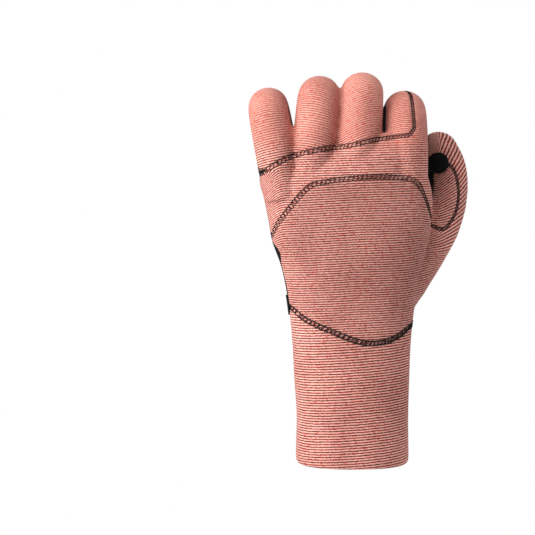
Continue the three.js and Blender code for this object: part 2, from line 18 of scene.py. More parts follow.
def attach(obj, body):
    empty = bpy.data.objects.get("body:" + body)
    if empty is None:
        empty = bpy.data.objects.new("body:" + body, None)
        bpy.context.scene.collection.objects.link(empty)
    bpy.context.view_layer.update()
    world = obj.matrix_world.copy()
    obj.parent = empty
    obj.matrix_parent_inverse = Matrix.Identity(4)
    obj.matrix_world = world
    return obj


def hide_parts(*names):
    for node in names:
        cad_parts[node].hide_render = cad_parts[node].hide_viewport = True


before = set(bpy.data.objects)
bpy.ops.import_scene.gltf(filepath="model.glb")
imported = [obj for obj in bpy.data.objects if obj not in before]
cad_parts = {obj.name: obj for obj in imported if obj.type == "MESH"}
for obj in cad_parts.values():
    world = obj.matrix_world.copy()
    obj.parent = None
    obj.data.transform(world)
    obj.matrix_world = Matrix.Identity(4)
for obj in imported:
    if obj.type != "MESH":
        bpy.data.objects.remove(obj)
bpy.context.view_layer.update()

log = logging.getLogger("glove")
MM = 0.001
SMOOTH_BELOW = math.radians(50)
SHARPEST_CORNER = 0.4
Stops = Sequence[tuple[float, tuple[float, ...]]]


class Join(Enum):
    """How one solid is joined with another."""

    ADD = "UNION"
    CUT = "DIFFERENCE"
    KEEP = "INTERSECT"


class Face(Enum):
    """The surfaces of a cut piece of cloth, by the place of their finish on it."""

    OUTSIDE = 0
    LINING = 1
    EDGE = 2


@dataclass(frozen=True)
class Sizes:
    """The glove's driving sizes in millimetres, the same as the model's."""

    wall: float = 3
    seam_gap: float = 0.12
    cuff_width: float = 71
    cuff_depth: float = 54
    hem_height: float = 3
    hem_rounding: float = 1.2
    palm_width: float = 105
    palm_depth: float = 40
    knuckle_height: float = 190
    knuckle_slant: float = 0.24
    finger_width: float = 27.4
    finger_flatness: float = 0.94
    finger_length: float = 91
    finger_root: float = 16
    thumb_width: float = 28
    patch_diameter: float = 13
    patch_thickness: float = 0.8
    knuckle_depth_share: float = -0.09
    section_roundness: float = 0.86
    joint_bend: float = 0.3
    knuckle_bend: float = 0.2
    finger_taper: float = 0.9
    tip_seam_rise: float = 0.35
    tip_seam_end: float = 1.3
    ulnar_shelf: tuple[float, float] = (0.9, 0.78)
    palm_foot: float = 0.81
    web_turn: float = 0.1
    wrist_turn: float = 0.125
    clearance: float = 1
    lap: float = 2

    @property
    def half_palm(self) -> float:
        """Half the palm's width."""
        return self.palm_width / 2

    @property
    def far(self) -> float:
        """A distance well outside the glove."""
        return 3 * self.palm_width

    @property
    def knuckle_y(self) -> float:
        """How far behind the middle of the hand the fingers start."""
        return self.knuckle_depth_share * self.palm_depth


@dataclass(frozen=True)
class Finger:
    """One finger: where it starts, its bones and how it curls.

    x is a share of half the palm's width and z of the knuckle height; the bones are shares of the
    finger length; splay, yaw and the curls are in degrees; courses_tilt is the slant of its knit;
    parting is how far its side seams are to the palm's side of its middle, as a share of the
    finger width, which for the little and ring fingers is more than in the model.
    """

    name: str
    x: float
    z: float
    bones: tuple[float, float, float]
    width: float
    splay: float
    yaw: float
    curls: tuple[float, float, float]
    courses_tilt: float
    parting: float = 0.12


FINGERS = (
    Finger("little", -0.86, 0.95, (0.45, 0.24, 0.17), 0.93, -11.5, 5, (8, 95, 146), 0, 0.34),
    Finger("ring", -0.47, 0.985, (0.465, 0.3, 0.2), 0.985, 3.5, 6, (14, 100, 150), -7, 0.16),
    Finger("middle", 0.065, 1.005, (0.465, 0.31, 0.21), 1.0, 3, 3, (20, 103, 152), 24),
    Finger("index", 0.625, 0.995, (0.4, 0.28, 0.19), 0.975, 1.5, 0, (36, 96, 128), -2),
)

# at, spread, left, right, back, palm
HAND_SECTIONS = (
    (0.0, 0, 0.97, 0.98, 0.96, 0.96),
    (0.016, 0, 0.985, 0.995, 0.98, 0.98),
    (0.15, 0, 0.97, 0.985, 0.98, 0.96),
    (0.28, 0, 1.015, 1.0, 0.98, 0.96),
    (0.39, 0, 1.045, 1.02, 0.96, 0.96),
    (0.49, 0.15, 1.02, 1.0, 0.96, 0.96),
    (0.57, 0.35, 0.985, 0.985, 0.96, 1.0),
    (0.66, 0.6, 0.965, 0.97, 1.0, 1.04),
    (0.75, 0.8, 1.01, 0.98, 1.0, 1.02),
    (0.84, 1.0, 0.995, 0.935, 1.0, 0.98),
    (0.92, 1.0, 1.045, 0.865, 0.97, 0.86),
    (0.98, 1.0, 1.095, 0.845, 0.86, 0.68),
    (1.02, 1.0, 1.08, 0.835, 0.62, 0.5),
    (1.05, 1.0, 1.0, 0.78, 0.4, 0.36),
)
# x, y, z, size
THUMB_SECTIONS = (
    (0.36, 0.02, 0.5, 1.1),
    (0.56, 0.14, 0.6, 1.28),
    (0.78, 0.34, 0.69, 1.28),
    (0.99, 0.55, 0.78, 1.24),
    (1.15, 0.79, 0.875, 1.04),
    (1.16, 0.93, 0.965, 0.98),
    (1.09, 1.02, 1.02, 0.92),
)
# x, height on the back, which is up to 2.7 mm above the model's, height on the palm
WRIST_SEAM = (
    (-1.6, 0.55, 0.55),
    (-1.06, 0.512, 0.505),
    (-0.9, 0.488, 0.474),
    (-0.63, 0.463, 0.432),
    (-0.36, 0.444, 0.407),
    (-0.09, 0.423, 0.398),
    (0.17, 0.41, 0.405),
    (0.39, 0.409, 0.428),
    (0.58, 0.415, 0.447),
    (0.79, 0.431, 0.469),
    (0.95, 0.451, 0.472),
    (1.1, 0.462, 0.464),
    (1.6, 0.47, 0.468),
)
# x, z
FINGER_SEAM = (
    (-1.6, 0.88),
    (-1.14, 0.935),
    (-0.99, 0.964),
    (-0.79, 0.996),
    (-0.6, 1.013),
    (-0.3, 1.029),
    (-0.06, 1.037),
    (0.18, 1.053),
    (0.42, 1.064),
    (0.55, 1.068),
    (0.645, 1.073),
    (0.69, 1.09),
)
# x, height on the back, height past the hand's edge
BACK_SEAM = (
    (-1.6, 0.67, 0.67),
    (-0.98, 0.735, 0.735),
    (-0.91, 0.776, 0.776),
    (-0.82, 0.812, 0.812),
    (-0.71, 0.851, 0.851),
    (-0.52, 0.907, 0.9),
    (-0.33, 0.922, 0.91),
    (-0.06, 0.932, 0.91),
    (0.21, 0.937, 0.9),
    (0.48, 0.936, 0.87),
    (0.62, 0.932, 0.83),
    (0.715, 0.922, 0.8),
    (0.79, 0.897, 0.787),
    (0.87, 0.846, 0.781),
    (0.93, 0.802, 0.776),
    (0.99, 0.776, 0.771),
    (1.076, 0.765, 0.765),
)
WEB_POINTS = 7
# x, z
THUMB_LOOP = (
    (1.166, 0.786),
    (1.24, 0.816),
    (1.284, 0.856),
    (1.294, 0.902),
    (1.257, 0.952),
    (1.2, 0.973),
    (1.12, 0.985),
    (1.03, 0.992),
)
# x, y
INDEX_SEAM = (
    (0.69, -1.2),
    (0.705, -0.2),
    (0.7, 0.1),
    (0.69, 0.35),
    (0.65, 0.6),
    (0.5, 1),
    (0.3, 1.8),
)
# share of the way across the turn, share of the palm side's outline
TURN_STEPS = ((-1, 0), (-0.5, 0.16), (0, 0.5), (0.5, 0.84), (1, 1))
# z, ulnar, web x, web y, front x, front y, rear x
PALM_EDGE = (
    (0.3, 0.04, 0.2, 0, 0.4, 0.15, 0.5),
    (0.48, 0.03, 0.25, 0, 0.42, 0.2, 0.56),
    (0.55, -0.11, 0.36, 0, 0.54, 0.3, 0.7),
    (0.6, 0.04, 0.431, 0, 0.626, 0.314, 0.814),
    (0.645, 0.02, 0.496, 0, 0.703, 0.351, 0.91),
    (0.69, -0.21, 0.56, 0, 0.78, 0.4, 1),
    (0.735, 0.02, 0.686, 0.045, 0.852, 0.418, 1.081),
    (0.8, 0.04, 0.7, 0.05, 0.93, 0.38, 1.16),
    (0.84, 0.04, 0.72, 0, 0.95, 0.38, 1.19),
    (0.93, 0.04, 0.97, -0.035, 0.985, 0.51, 1.2),
    (0.955, -0.3, 0.96, -0.06, 0.98, 0.58, 1.18),
    (0.98, 0.03, 0.925, -0.09, 0.94, 0.65, 1.15),
    (1.15, 0, 0.925, -0.09, 0.935, 0.8, 1.04),
)


def fair(rows: Sequence[Sequence[float]], per: int) -> np.ndarray:
    """Puts smooth rows between the rows of a table.

    Args:
        rows: The table.
        per: How many rows each gap becomes.

    Returns:
        The longer table, which still goes through every row.
    """
    points = np.asarray(rows, float)
    ends = np.vstack([2 * points[0] - points[1], points, 2 * points[-1] - points[-2]])
    knots = np.sqrt(np.maximum(np.linalg.norm(np.diff(ends, axis=0), axis=1), 1e-9))
    made = []
    for k in range(len(points) - 1):
        p0, p1, p2, p3 = ends[k : k + 4]
        a, b, c = knots[k : k + 3]
        start = ((p1 - p0) / a - (p2 - p0) / (a + b) + (p2 - p1) / b) * b
        stop = ((p2 - p1) / b - (p3 - p1) / (b + c) + (p3 - p2) / c) * b
        for t in np.arange(per) / per:
            made.append(
                (2 * t**3 - 3 * t**2 + 1) * p1
                + (t**3 - 2 * t**2 + t) * start
                + (3 * t**2 - 2 * t**3) * p2
                + (t**3 - t**2) * stop
            )
    made.append(points[-1])
    return np.array(made)


def ease(value: np.ndarray | float, low: float, high: float) -> np.ndarray | float:
    """Goes smoothly from 0 at low to 1 at high."""
    t = np.clip((np.asarray(value, float) - low) / (high - low), 0, 1)
    return t * t * (3 - 2 * t)


def unit(rows: np.ndarray) -> np.ndarray:
    """Gives each row a length of 1."""
    return rows / np.maximum(np.linalg.norm(rows, axis=-1, keepdims=True), 1e-12)


def take(*objects: Object) -> None:
    """Selects only these objects, the first as the active one."""
    bpy.ops.object.select_all(action="DESELECT")
    for thing in objects:
        thing.select_set(True)
    bpy.context.view_layer.objects.active = objects[0]


def discard(*objects: Object) -> None:
    """Removes objects and their meshes.

    Args:
        objects: The objects, whose meshes go where nothing else uses them.
    """
    for thing in objects:
        mesh = thing.data
        bpy.data.objects.remove(thing)
        if mesh.users == 0:
            bpy.data.meshes.remove(mesh)


def put(name: str, data: bpy.types.ID) -> Object:
    """Places a mesh, curve, light or camera in the scene as an object.

    Args:
        name: The object's name.
        data: What it shows.

    Returns:
        The object.
    """
    thing = bpy.data.objects.new(name, data)
    bpy.context.scene.collection.objects.link(thing)
    return thing


def aim(thing: Object, place: Sequence[float], target: Sequence[float]) -> None:
    """Places a light or the camera and turns it to a target, both in metres.

    Args:
        thing: The light or camera.
        place: Where it is put.
        target: What it faces.
    """
    thing.location = place
    thing.rotation_mode = "QUATERNION"
    thing.rotation_quaternion = (Vector(target) - Vector(place)).to_track_quat("-Z", "Y")


def points_of(thing: Object) -> np.ndarray:
    """Reads an object's points in millimetres.

    Args:
        thing: The object.

    Returns:
        A row for each point.
    """
    places = np.empty(len(thing.data.vertices) * 3)
    thing.data.vertices.foreach_get("co", places)
    return places.reshape(-1, 3) / MM


def paint(thing: Object, face: Face) -> None:
    """Makes all of a solid's faces one surface."""
    thing.data.polygons.foreach_set("material_index", [face.value] * len(thing.data.polygons))


def cord(name: str, places: np.ndarray, radius: float, closed: bool) -> Object:
    """Lays a round thread along a line.

    Args:
        name: The thread's name.
        places: The line's points.
        radius: Half the thread's thickness, in the same unit as the points.
        closed: Whether the line is a loop.

    Returns:
        The thread as a mesh.
    """
    curve = bpy.data.curves.new(name, "CURVE")
    curve.dimensions = "3D"
    curve.bevel_depth = radius
    curve.bevel_resolution = 1
    curve.use_fill_caps = not closed
    line = curve.splines.new("POLY")
    line.points.add(len(places) - 1)
    line.points.foreach_set("co", np.column_stack([places, np.ones(len(places))]).ravel())
    line.use_cyclic_u = closed
    take(put(name, curve))
    bpy.ops.object.convert(target="MESH")
    return bpy.context.object


def finish_with(thing: Object, kind: str, **settings: object) -> None:
    """Adds a modifier to an object and applies it.

    Args:
        thing: The object.
        kind: The modifier's kind.
        settings: The modifier's settings.
    """
    take(thing)
    modifier = thing.modifiers.new(kind.lower(), kind)
    for name, value in settings.items():
        setattr(modifier, name, value)
    bpy.ops.object.modifier_apply(modifier=modifier.name)


def join(body: Object, tool: Object, how: Join) -> Object:
    """Joins a solid with another, which is used up.

    Args:
        body: The solid that is changed.
        tool: The other solid.
        how: How they are joined.

    Returns:
        The changed solid.
    """
    finish_with(
        body, "BOOLEAN", operation=how.value, object=tool, solver="MANIFOLD", material_mode="INDEX"
    )
    discard(tool)
    return body


def merged(parts: Sequence[Object]) -> Object:
    """Puts objects together as one, without joining their solids.

    Args:
        parts: The objects, which are used up.

    Returns:
        The one object.
    """
    take(*parts)
    bpy.ops.object.join()
    return bpy.context.object


def bodies(thing: Object) -> list[Object]:
    """Splits an object into its separate bodies, the largest first.

    Args:
        thing: The object, which is used up.

    Returns:
        The bodies.
    """
    take(thing)
    bpy.ops.object.mode_set(mode="EDIT")
    bpy.ops.mesh.select_all(action="SELECT")
    bpy.ops.mesh.separate(type="LOOSE")
    bpy.ops.object.mode_set(mode="OBJECT")
    parts = list(bpy.context.selected_objects)
    return sorted(parts, key=lambda part: -len(part.data.polygons))


def largest(thing: Object, name: str) -> Object:
    """Keeps the largest body of an object and names it.

    Args:
        thing: The object, which is used up.
        name: The body's name.

    Returns:
        The body.
    """
    first, *rest = bodies(thing)
    discard(*rest)
    first.name = name
    first.data.name = name
    return first


def loft(name: str, rings: Sequence[np.ndarray], face: Face = Face.OUTSIDE) -> Object:
    """Makes a closed solid by extruding a ring through a row of places.

    Args:
        name: The solid's name.
        rings: The corners of each ring in millimetres, as many in each.
        face: The surface that the solid's faces become on a cut piece.

    Returns:
        The solid.
    """
    bpy.ops.object.select_all(action="DESELECT")
    bpy.ops.mesh.primitive_circle_add(vertices=len(rings[0]), radius=MM)
    made = bpy.context.object
    bpy.ops.object.mode_set(mode="EDIT")
    order = list(range(len(rings[0])))
    for number, ring in enumerate(rings):
        if number:
            bpy.ops.mesh.extrude_region_move()
        work = bmesh.from_edit_mesh(made.data)
        work.verts.ensure_lookup_table()
        work.verts.index_update()
        if number:
            order = [
                next(
                    edge.other_vert(work.verts[k]).index
                    for edge in work.verts[k].link_edges
                    if edge.other_vert(work.verts[k]).select
                )
                for k in order
            ]
        for k, place in zip(order, ring):
            work.verts[k].co = Vector(place) * MM
    bpy.ops.mesh.edge_face_add()
    work = bmesh.from_edit_mesh(made.data)
    work.verts.ensure_lookup_table()
    for vertex in work.verts:
        vertex.select = vertex.index < len(rings[0])
    work.select_mode = {"VERT"}
    work.select_flush_mode()
    bpy.ops.mesh.edge_face_add()
    bpy.ops.mesh.select_all(action="SELECT")
    bpy.ops.mesh.normals_make_consistent(inside=False)
    if bmesh.from_edit_mesh(made.data).calc_volume(signed=True) < 0:
        bpy.ops.mesh.flip_normals()
    bpy.ops.object.mode_set(mode="OBJECT")
    for _ in Face:
        made.data.materials.append(None)
    paint(made, face)
    made.name = name
    return made


def prism(name: str, outline: np.ndarray, axes: str, low: float, high: float) -> Object:
    """Carries a flat outline along the axis that it doesn't use.

    Args:
        name: The solid's name.
        outline: The outline's points.
        axes: The two axes of the points, such as "xz".
        low: Where it starts on the third axis.
        high: Where it ends.

    Returns:
        The solid, whose faces become cut edges.
    """
    slots = ["xyz".index(axis) for axis in axes]
    rest = 3 - sum(slots)
    rings = []
    for depth in (low, high):
        ring = np.zeros((len(outline), 3))
        ring[:, slots] = outline
        ring[:, rest] = depth
        rings.append(ring)
    return loft(name, rings, Face.EDGE)


def grown(outline: np.ndarray, grow: float) -> np.ndarray:
    """Pushes a closed outline out on every side.

    Args:
        outline: The outline's points.
        grow: How far it is pushed.

    Returns:
        The new points.
    """
    after = np.roll(outline, -1, axis=0)
    area = np.sum(outline[:, 0] * after[:, 1] - after[:, 0] * outline[:, 1])
    edge = unit(after - outline) * np.sign(area)
    normal = np.column_stack([edge[:, 1], -edge[:, 0]])
    both = normal + np.roll(normal, 1, axis=0)
    spread = np.maximum(np.sum(both**2, axis=1), SHARPEST_CORNER)
    return outline + both * (2 * grow / spread)[:, None]


@dataclass
class Line:
    """The middle line of a finger or the thumb, station by station."""

    place: np.ndarray
    ahead: np.ndarray
    side: np.ndarray
    back: np.ndarray
    least_spacing: float = 0.3

    def measure(
        self, points: np.ndarray, reach: float
    ) -> tuple[np.ndarray, np.ndarray, np.ndarray]:
        """Finds points along the line.

        Args:
            points: The points.
            reach: How far behind the line its length is measured.

        Returns:
            Each point's length along the line's back, its distance to the side and to the line.
        """
        gap = points[:, None, :] - self.place[None]
        nearest = np.argmin(np.sum(gap**2, axis=2), axis=1)
        near = gap[np.arange(len(points)), nearest]
        step = np.linalg.norm(np.diff(self.place, axis=0), axis=1).mean()
        turn = np.linalg.norm(np.gradient(self.ahead, axis=0), axis=1)[nearest]
        spacing = step + turn * np.sum(near * self.back[nearest], axis=1)
        ahead = np.sum(near * self.ahead[nearest], axis=1)
        station = nearest + ahead / np.maximum(spacing, self.least_spacing)
        inside = np.clip(station, 0, len(self.place) - 1)
        behind = np.linalg.norm(np.diff(self.place + self.back * reach, axis=0), axis=1)
        run = np.concatenate([[0], np.cumsum(behind)])
        along = np.interp(inside, np.arange(len(run)), run) + (station - inside) * step
        return along, np.sum(near * self.side[nearest], axis=1), np.linalg.norm(near, axis=1)


@dataclass
class GloveForm:
    """The glove's outside and inside as closed forms."""

    sizes: Sizes = field(default_factory=Sizes)
    hand_sides: int = 96
    hand_rows: int = 4
    finger_sides: int = 40
    finger_steps: int = 32
    thumb_sides: int = 40
    thumb_rows: int = 4
    fine_steps: int = 8
    dome_rings: int = 8
    dome_turn: float = 0.48 * math.pi

    def hand(self, grow: float) -> Object:
        """Makes the hand and cuff, grown outwards.

        Args:
            grow: How far it stands outside the glove.

        Returns:
            The solid.
        """
        s = self.sizes
        angle = 2 * np.pi * np.arange(self.hand_sides) / self.hand_sides
        cos, sin = np.cos(angle), np.sin(angle)
        round_x = np.sign(cos) * np.abs(cos) ** s.section_roundness
        round_y = np.sign(sin) * np.abs(sin) ** s.section_roundness
        table = fair(HAND_SECTIONS, self.hand_rows)
        rings = []
        for number, (at, spread, left, right, back, palm) in enumerate(table):
            wide = (s.cuff_width + (s.palm_width - s.cuff_width) * spread) / 2
            deep = (s.cuff_depth + (s.palm_depth - s.cuff_depth) * spread) / 2
            below = 1 - min(1.0, at * s.knuckle_height / s.hem_height)
            inset = s.hem_rounding * (1 - math.sqrt(1 - below**2)) if grow >= 0 else 0
            x = (wide * np.where(cos > 0, right, left) + grow - inset) * round_x
            y = (deep * np.where(sin > 0, palm, back) + grow - inset) * round_y
            z = at * s.knuckle_height + s.knuckle_slant * x * at**3
            if number == 0 and grow < 0:
                z = z - s.far / 10
            if number == len(table) - 1:
                z = z + grow
            rings.append(np.column_stack([x, y, z]))
        return loft("hand_form", rings, Face.LINING if grow < 0 else Face.OUTSIDE)

    def finger_line(self, finger: Finger, steps: int) -> Line:
        """Follows a finger's middle from its root to its tip.

        Args:
            finger: The finger.
            steps: How many steps its stations are apart in all.

        Returns:
            The line.
        """
        s = self.sizes
        fine = self.fine_steps
        splay, yaw = math.radians(finger.splay), math.radians(finger.yaw)
        up = np.array([math.sin(splay), 0, math.cos(splay)])
        inward = np.array([math.sin(yaw), math.cos(yaw), 0])
        inward = unit(inward - up * (inward @ up))
        side = np.cross(inward, up)
        first, second, third = (share * s.finger_length for share in finger.bones)
        bend = s.joint_bend * s.finger_length
        a, b, c = (math.radians(curl) for curl in finger.curls)
        step = (first + second + third + s.finger_root) / (steps * fine)
        knuckle = [finger.x * s.half_palm, s.knuckle_y, finger.z * s.knuckle_height]
        place = np.array(knuckle) - up * s.finger_root
        rows = []
        for k in range(steps * fine + 1):
            along = k * step - s.finger_root
            turns = [
                float(ease(along, middle - bend / 2, middle + bend / 2))
                for middle in (s.knuckle_bend * bend, first, first + second)
            ]
            angle = a * turns[0] + (b - a) * turns[1] + (c - b) * turns[2]
            ahead = up * math.cos(angle) + inward * math.sin(angle)
            if k % fine == 0:
                rows.append((place, ahead, side, up * math.sin(angle) - inward * math.cos(angle)))
            place = place + ahead * step
        return Line(*(np.array(column) for column in zip(*rows)))

    def thumb_line(self) -> tuple[Line, np.ndarray]:
        """Follows the thumb's middle.

        Returns:
            The line, and the thumb's width at each station.
        """
        s = self.sizes
        scale = np.array([s.half_palm, s.palm_depth, s.knuckle_height])
        table = fair(np.array(THUMB_SECTIONS)[:, :3] * scale, self.thumb_rows)
        ahead = unit(np.gradient(table, axis=0))
        side = unit(np.array([1.0, 0, 0]) - ahead * ahead[:, :1])
        rows = np.arange(len(table)) / self.thumb_rows
        width = np.interp(rows, np.arange(len(THUMB_SECTIONS)), [row[3] for row in THUMB_SECTIONS])
        return Line(table, ahead, side, np.cross(side, ahead)), width * s.thumb_width

    def tube(
        self, name: str, line: Line, sides: int, wide: np.ndarray, deep: np.ndarray, face: Face
    ) -> Object:
        """Makes a round-ended tube along a line.

        Args:
            name: The solid's name.
            line: The line.
            sides: Corners of a section.
            wide: Half its width at each station.
            deep: Half its depth at each station.
            face: The surface that its faces become.

        Returns:
            The solid.
        """
        angle = 2 * np.pi * (np.arange(sides) + 0.5) / sides
        cos, sin = np.cos(angle)[:, None], np.sin(angle)[:, None]
        rings = [
            line.place[k] + line.side[k] * wide[k] * cos - line.back[k] * deep[k] * sin
            for k in range(len(line.place))
        ]
        for k in range(1, self.dome_rings + 1):
            turn = self.dome_turn * k / self.dome_rings
            shrink, push = math.cos(turn), math.sin(turn) * deep[-1]
            rings.append(
                line.place[-1]
                + line.ahead[-1] * push
                + line.side[-1] * (shrink * wide[-1]) * cos
                - line.back[-1] * (shrink * deep[-1]) * sin
            )
        return loft(name, rings, face)

    def radius(self, finger: Finger, share: np.ndarray | float) -> np.ndarray | float:
        """Half a finger's width at a share of its length."""
        s = self.sizes
        return finger.width * s.finger_width * (1 + (s.finger_taper - 1) * share**2) / 2

    def finger(self, finger: Finger, grow: float) -> Object:
        """Makes a finger as a closed form, grown outwards.

        Args:
            finger: The finger.
            grow: How far it stands outside the glove.

        Returns:
            The solid.
        """
        line = self.finger_line(finger, self.finger_steps)
        radius = self.radius(finger, np.linspace(0, 1, len(line.place)))
        deep = radius * self.sizes.finger_flatness + grow
        face = Face.LINING if grow < 0 else Face.OUTSIDE
        return self.tube(finger.name, line, self.finger_sides, radius + grow, deep, face)

    def thumb(self, grow: float, face: Face) -> Object:
        """Makes the thumb as a closed form, grown outwards.

        Args:
            grow: How far it stands outside the glove.
            face: The surface that its faces become.

        Returns:
            The solid.
        """
        line, width = self.thumb_line()
        radius = width / 2 + grow
        return self.tube("thumb", line, self.thumb_sides, radius, radius, face)

    def whole(self, grow: float, grain: float, softening: int) -> Object:
        """Makes the whole glove as one closed form of even, small faces.

        Args:
            grow: How far it stands outside the glove's own outside.
            grain: The size of the faces in millimetres.
            softening: How many times the creases are smoothed.

        Returns:
            The form.
        """
        face = Face.LINING if grow < 0 else Face.OUTSIDE
        parts = [self.hand(grow), self.thumb(grow, face)]
        parts += [self.finger(finger, grow) for finger in FINGERS]
        form = merged(parts)
        finish_with(form, "REMESH", mode="VOXEL", voxel_size=grain * MM, adaptivity=0)
        finish_with(form, "SMOOTH", factor=0.5, iterations=softening)
        paint(form, face)
        return form


@dataclass
class Pattern:
    """The forms that the glove's cloth is cut with, panel by panel."""

    form: GloveForm
    fineness: int = 5
    edge_fineness: int = 3
    finger_stations: int = 20

    def carried(
        self, outline: Callable[[int], np.ndarray], turn: float, stop: float, grow: float
    ) -> Object:
        """Carries an outline through the glove while it changes from the back's to the palm's.

        Args:
            outline: Makes the outline from a table's column: 1 for the back's, 2 for the palm's.
            turn: How far from the middle the change starts and ends.
            stop: How far it is carried towards the palm.
            grow: How far it is pushed out.

        Returns:
            The solid.
        """
        steps = [(share * turn, mixed) for share, mixed in TURN_STEPS]
        levels = []
        for y, mixed in ((-self.form.sizes.far, 0), *steps, (stop, 1)):
            flat = grown(outline(1) * (1 - mixed) + outline(2) * mixed, grow)
            levels.append(np.column_stack([flat[:, 0], np.full(len(flat), y), flat[:, 1]]))
        return loft("carried", levels, Face.EDGE)

    def below_wrist(self, grow: float) -> Object:
        """Makes all below the wrist seam, with that edge raised.

        Args:
            grow: How far the edge is raised.

        Returns:
            The solid.
        """
        s = self.form.sizes
        table = fair(WRIST_SEAM, self.fineness)

        def outline(column: int) -> np.ndarray:
            """The seam on one side, closed below."""
            x = table[:, 0] * s.cuff_width / 2
            z = table[:, column] * s.knuckle_height + grow
            return np.vstack([np.column_stack([x, z]), [x[-1], -s.far], [x[0], -s.far]])

        return self.carried(outline, s.wrist_turn * s.cuff_depth, s.far, 0)

    def palm_levels(self, grow: float) -> Object:
        """Makes all on the palm side of the palm's edge, level by level, with the edge moved.

        Args:
            grow: How far the edge is moved out.

        Returns:
            The solid.
        """
        s = self.form.sizes
        outer, inner = (grow - share * s.half_palm for share in s.ulnar_shelf)
        rings = []
        for z, ulnar, web_x, web_y, front_x, front_y, rear_x in fair(
            PALM_EDGE, self.edge_fineness
        ):
            corners = (
                (-s.far, ulnar * s.palm_depth - grow),
                (outer, ulnar * s.palm_depth - grow),
                (inner, s.knuckle_y - grow),
                (web_x * s.half_palm, web_y * s.palm_depth - grow),
                (front_x * s.half_palm + grow, front_y * s.palm_depth - grow),
                (rear_x * s.half_palm + grow, s.far),
                (-s.far, s.far),
            )
            rings.append(np.array([(*corner, z * s.knuckle_height) for corner in corners]))
        return loft("palm_levels", rings, Face.EDGE)

    def palm_of_fingers(self, grow: float) -> Object:
        """Makes all on the palm side of the fingers' middle surfaces, with the edge moved.

        Args:
            grow: How far the edge is moved out.

        Returns:
            The solid.
        """
        s = self.form.sizes
        foot = s.palm_foot * s.knuckle_height
        paths = []
        for finger in FINGERS:
            line = self.form.finger_line(finger, self.finger_stations)
            radius = self.form.radius(finger, 1)
            lift = grow - finger.parting * s.finger_width
            over = line.place[2:] + line.back[2:] * lift
            leave = (
                line.place[-1]
                + line.back[-1] * (radius * s.tip_seam_rise + grow)
                + line.ahead[-1] * radius * s.tip_seam_end
            )
            start = [over[0][0], s.knuckle_y - lift, foot]
            ends = [[leave[0], s.far, leave[2] + grow], [over[0][0], s.far, foot]]
            paths.append(np.vstack([start, over, leave, ends]))
        stations = [paths[0] - [s.finger_width, 0, 0]]
        for near, beyond in zip(paths, paths[1:]):
            stations += [near, (near + beyond) / 2]
        outer = s.finger_width / 2 + s.clearance + grow
        stations += [paths[-1], paths[-1] + [outer, 0, 0]]
        return loft("palm_of_fingers", stations, Face.EDGE)

    def block(self, top: float) -> Object:
        """Makes a block that takes in all of the glove up to a height.

        Args:
            top: The height.

        Returns:
            The solid.
        """
        far = self.form.sizes.far
        square = np.array([(-far, -far), (far, -far), (far, far), (-far, far)])
        return prism("block", square, "xy", 0, top)

    def palm_region(self, grow: float) -> Object:
        """Makes all that the palm panel is cut from, with its edge moved.

        Args:
            grow: How far the edge is moved out.

        Returns:
            The solid.
        """
        s = self.form.sizes
        below = self.block(FINGERS[2].z * s.knuckle_height - s.lap + grow)
        region = join(self.palm_levels(grow), below, Join.KEEP)
        thumb = self.form.thumb(s.clearance + grow, Face.EDGE)
        join(region, join(thumb, self.palm_levels(grow), Join.KEEP), Join.ADD)
        return join(region, self.palm_of_fingers(grow), Join.ADD)

    def thumb_front(self) -> Object:
        """Makes all in front of the thumb's line, seen from the back of the hand.

        Returns:
            The solid.
        """
        s = self.form.sizes
        line, _ = self.form.thumb_line()
        path = line.place[:, 1:]
        outline = np.vstack([[-s.far, path[0, 1]], path, [path[-1, 0], s.far], [-s.far, s.far]])
        return prism("thumb_front", outline, "yz", -s.far, s.far)

    def knuckle_region(self, grow: float) -> Object:
        """Makes all that the knuckle panel is cut from, with its edge moved.

        Args:
            grow: How far its edge is moved out.

        Returns:
            The band over the knuckles, the index finger's outer side and the web, as one solid.
        """
        s = self.form.sizes
        flat = np.array([s.half_palm, s.knuckle_height])
        per = self.fineness
        upper = fair(FINGER_SEAM, per) * flat
        index = fair(INDEX_SEAM, per) * [s.half_palm, s.palm_depth]
        beside = max(row[0] for row in THUMB_SECTIONS) * s.half_palm
        ledge = upper[-1]

        def seam(column: int) -> np.ndarray:
            """The lower seam and the loop round the thumb in one line."""
            lower = np.array(BACK_SEAM)[:, [0, column]]
            return fair(np.vstack([lower, THUMB_LOOP]), per) * flat

        def band(column: int) -> np.ndarray:
            """The outline of the band over the knuckles."""
            lower = seam(column)[: per * (len(BACK_SEAM) - 1) + 1]
            return np.vstack(
                [lower, [beside, lower[-1][1]], [beside, ledge[1]], ledge, upper[:-1][::-1]]
            )

        def web(column: int) -> np.ndarray:
            """The outline of the web down to the loop round the thumb."""
            edge = seam(column)[per * (len(BACK_SEAM) - WEB_POINTS) :]
            return np.vstack([edge, [edge[0][0], edge[-1][1]]])

        turn = s.web_turn * s.palm_depth
        strip = grown(np.vstack([index, [beside, index[-1][1]], [beside, index[0][1]]]), grow)
        over_hand = self.carried(band, turn, s.palm_depth / 2, grow)
        join(over_hand, self.form.thumb(s.wall / 2, Face.EDGE), Join.CUT)
        over_index = prism("over_index", strip, "xy", ledge[1] - s.lap, 2 * s.far)
        join(over_index, self.form.thumb(s.clearance, Face.EDGE), Join.CUT)
        over_thumb = join(self.carried(web, turn, s.far, grow), self.thumb_front(), Join.KEEP)
        return join(join(over_hand, over_index, Join.ADD), over_thumb, Join.ADD)


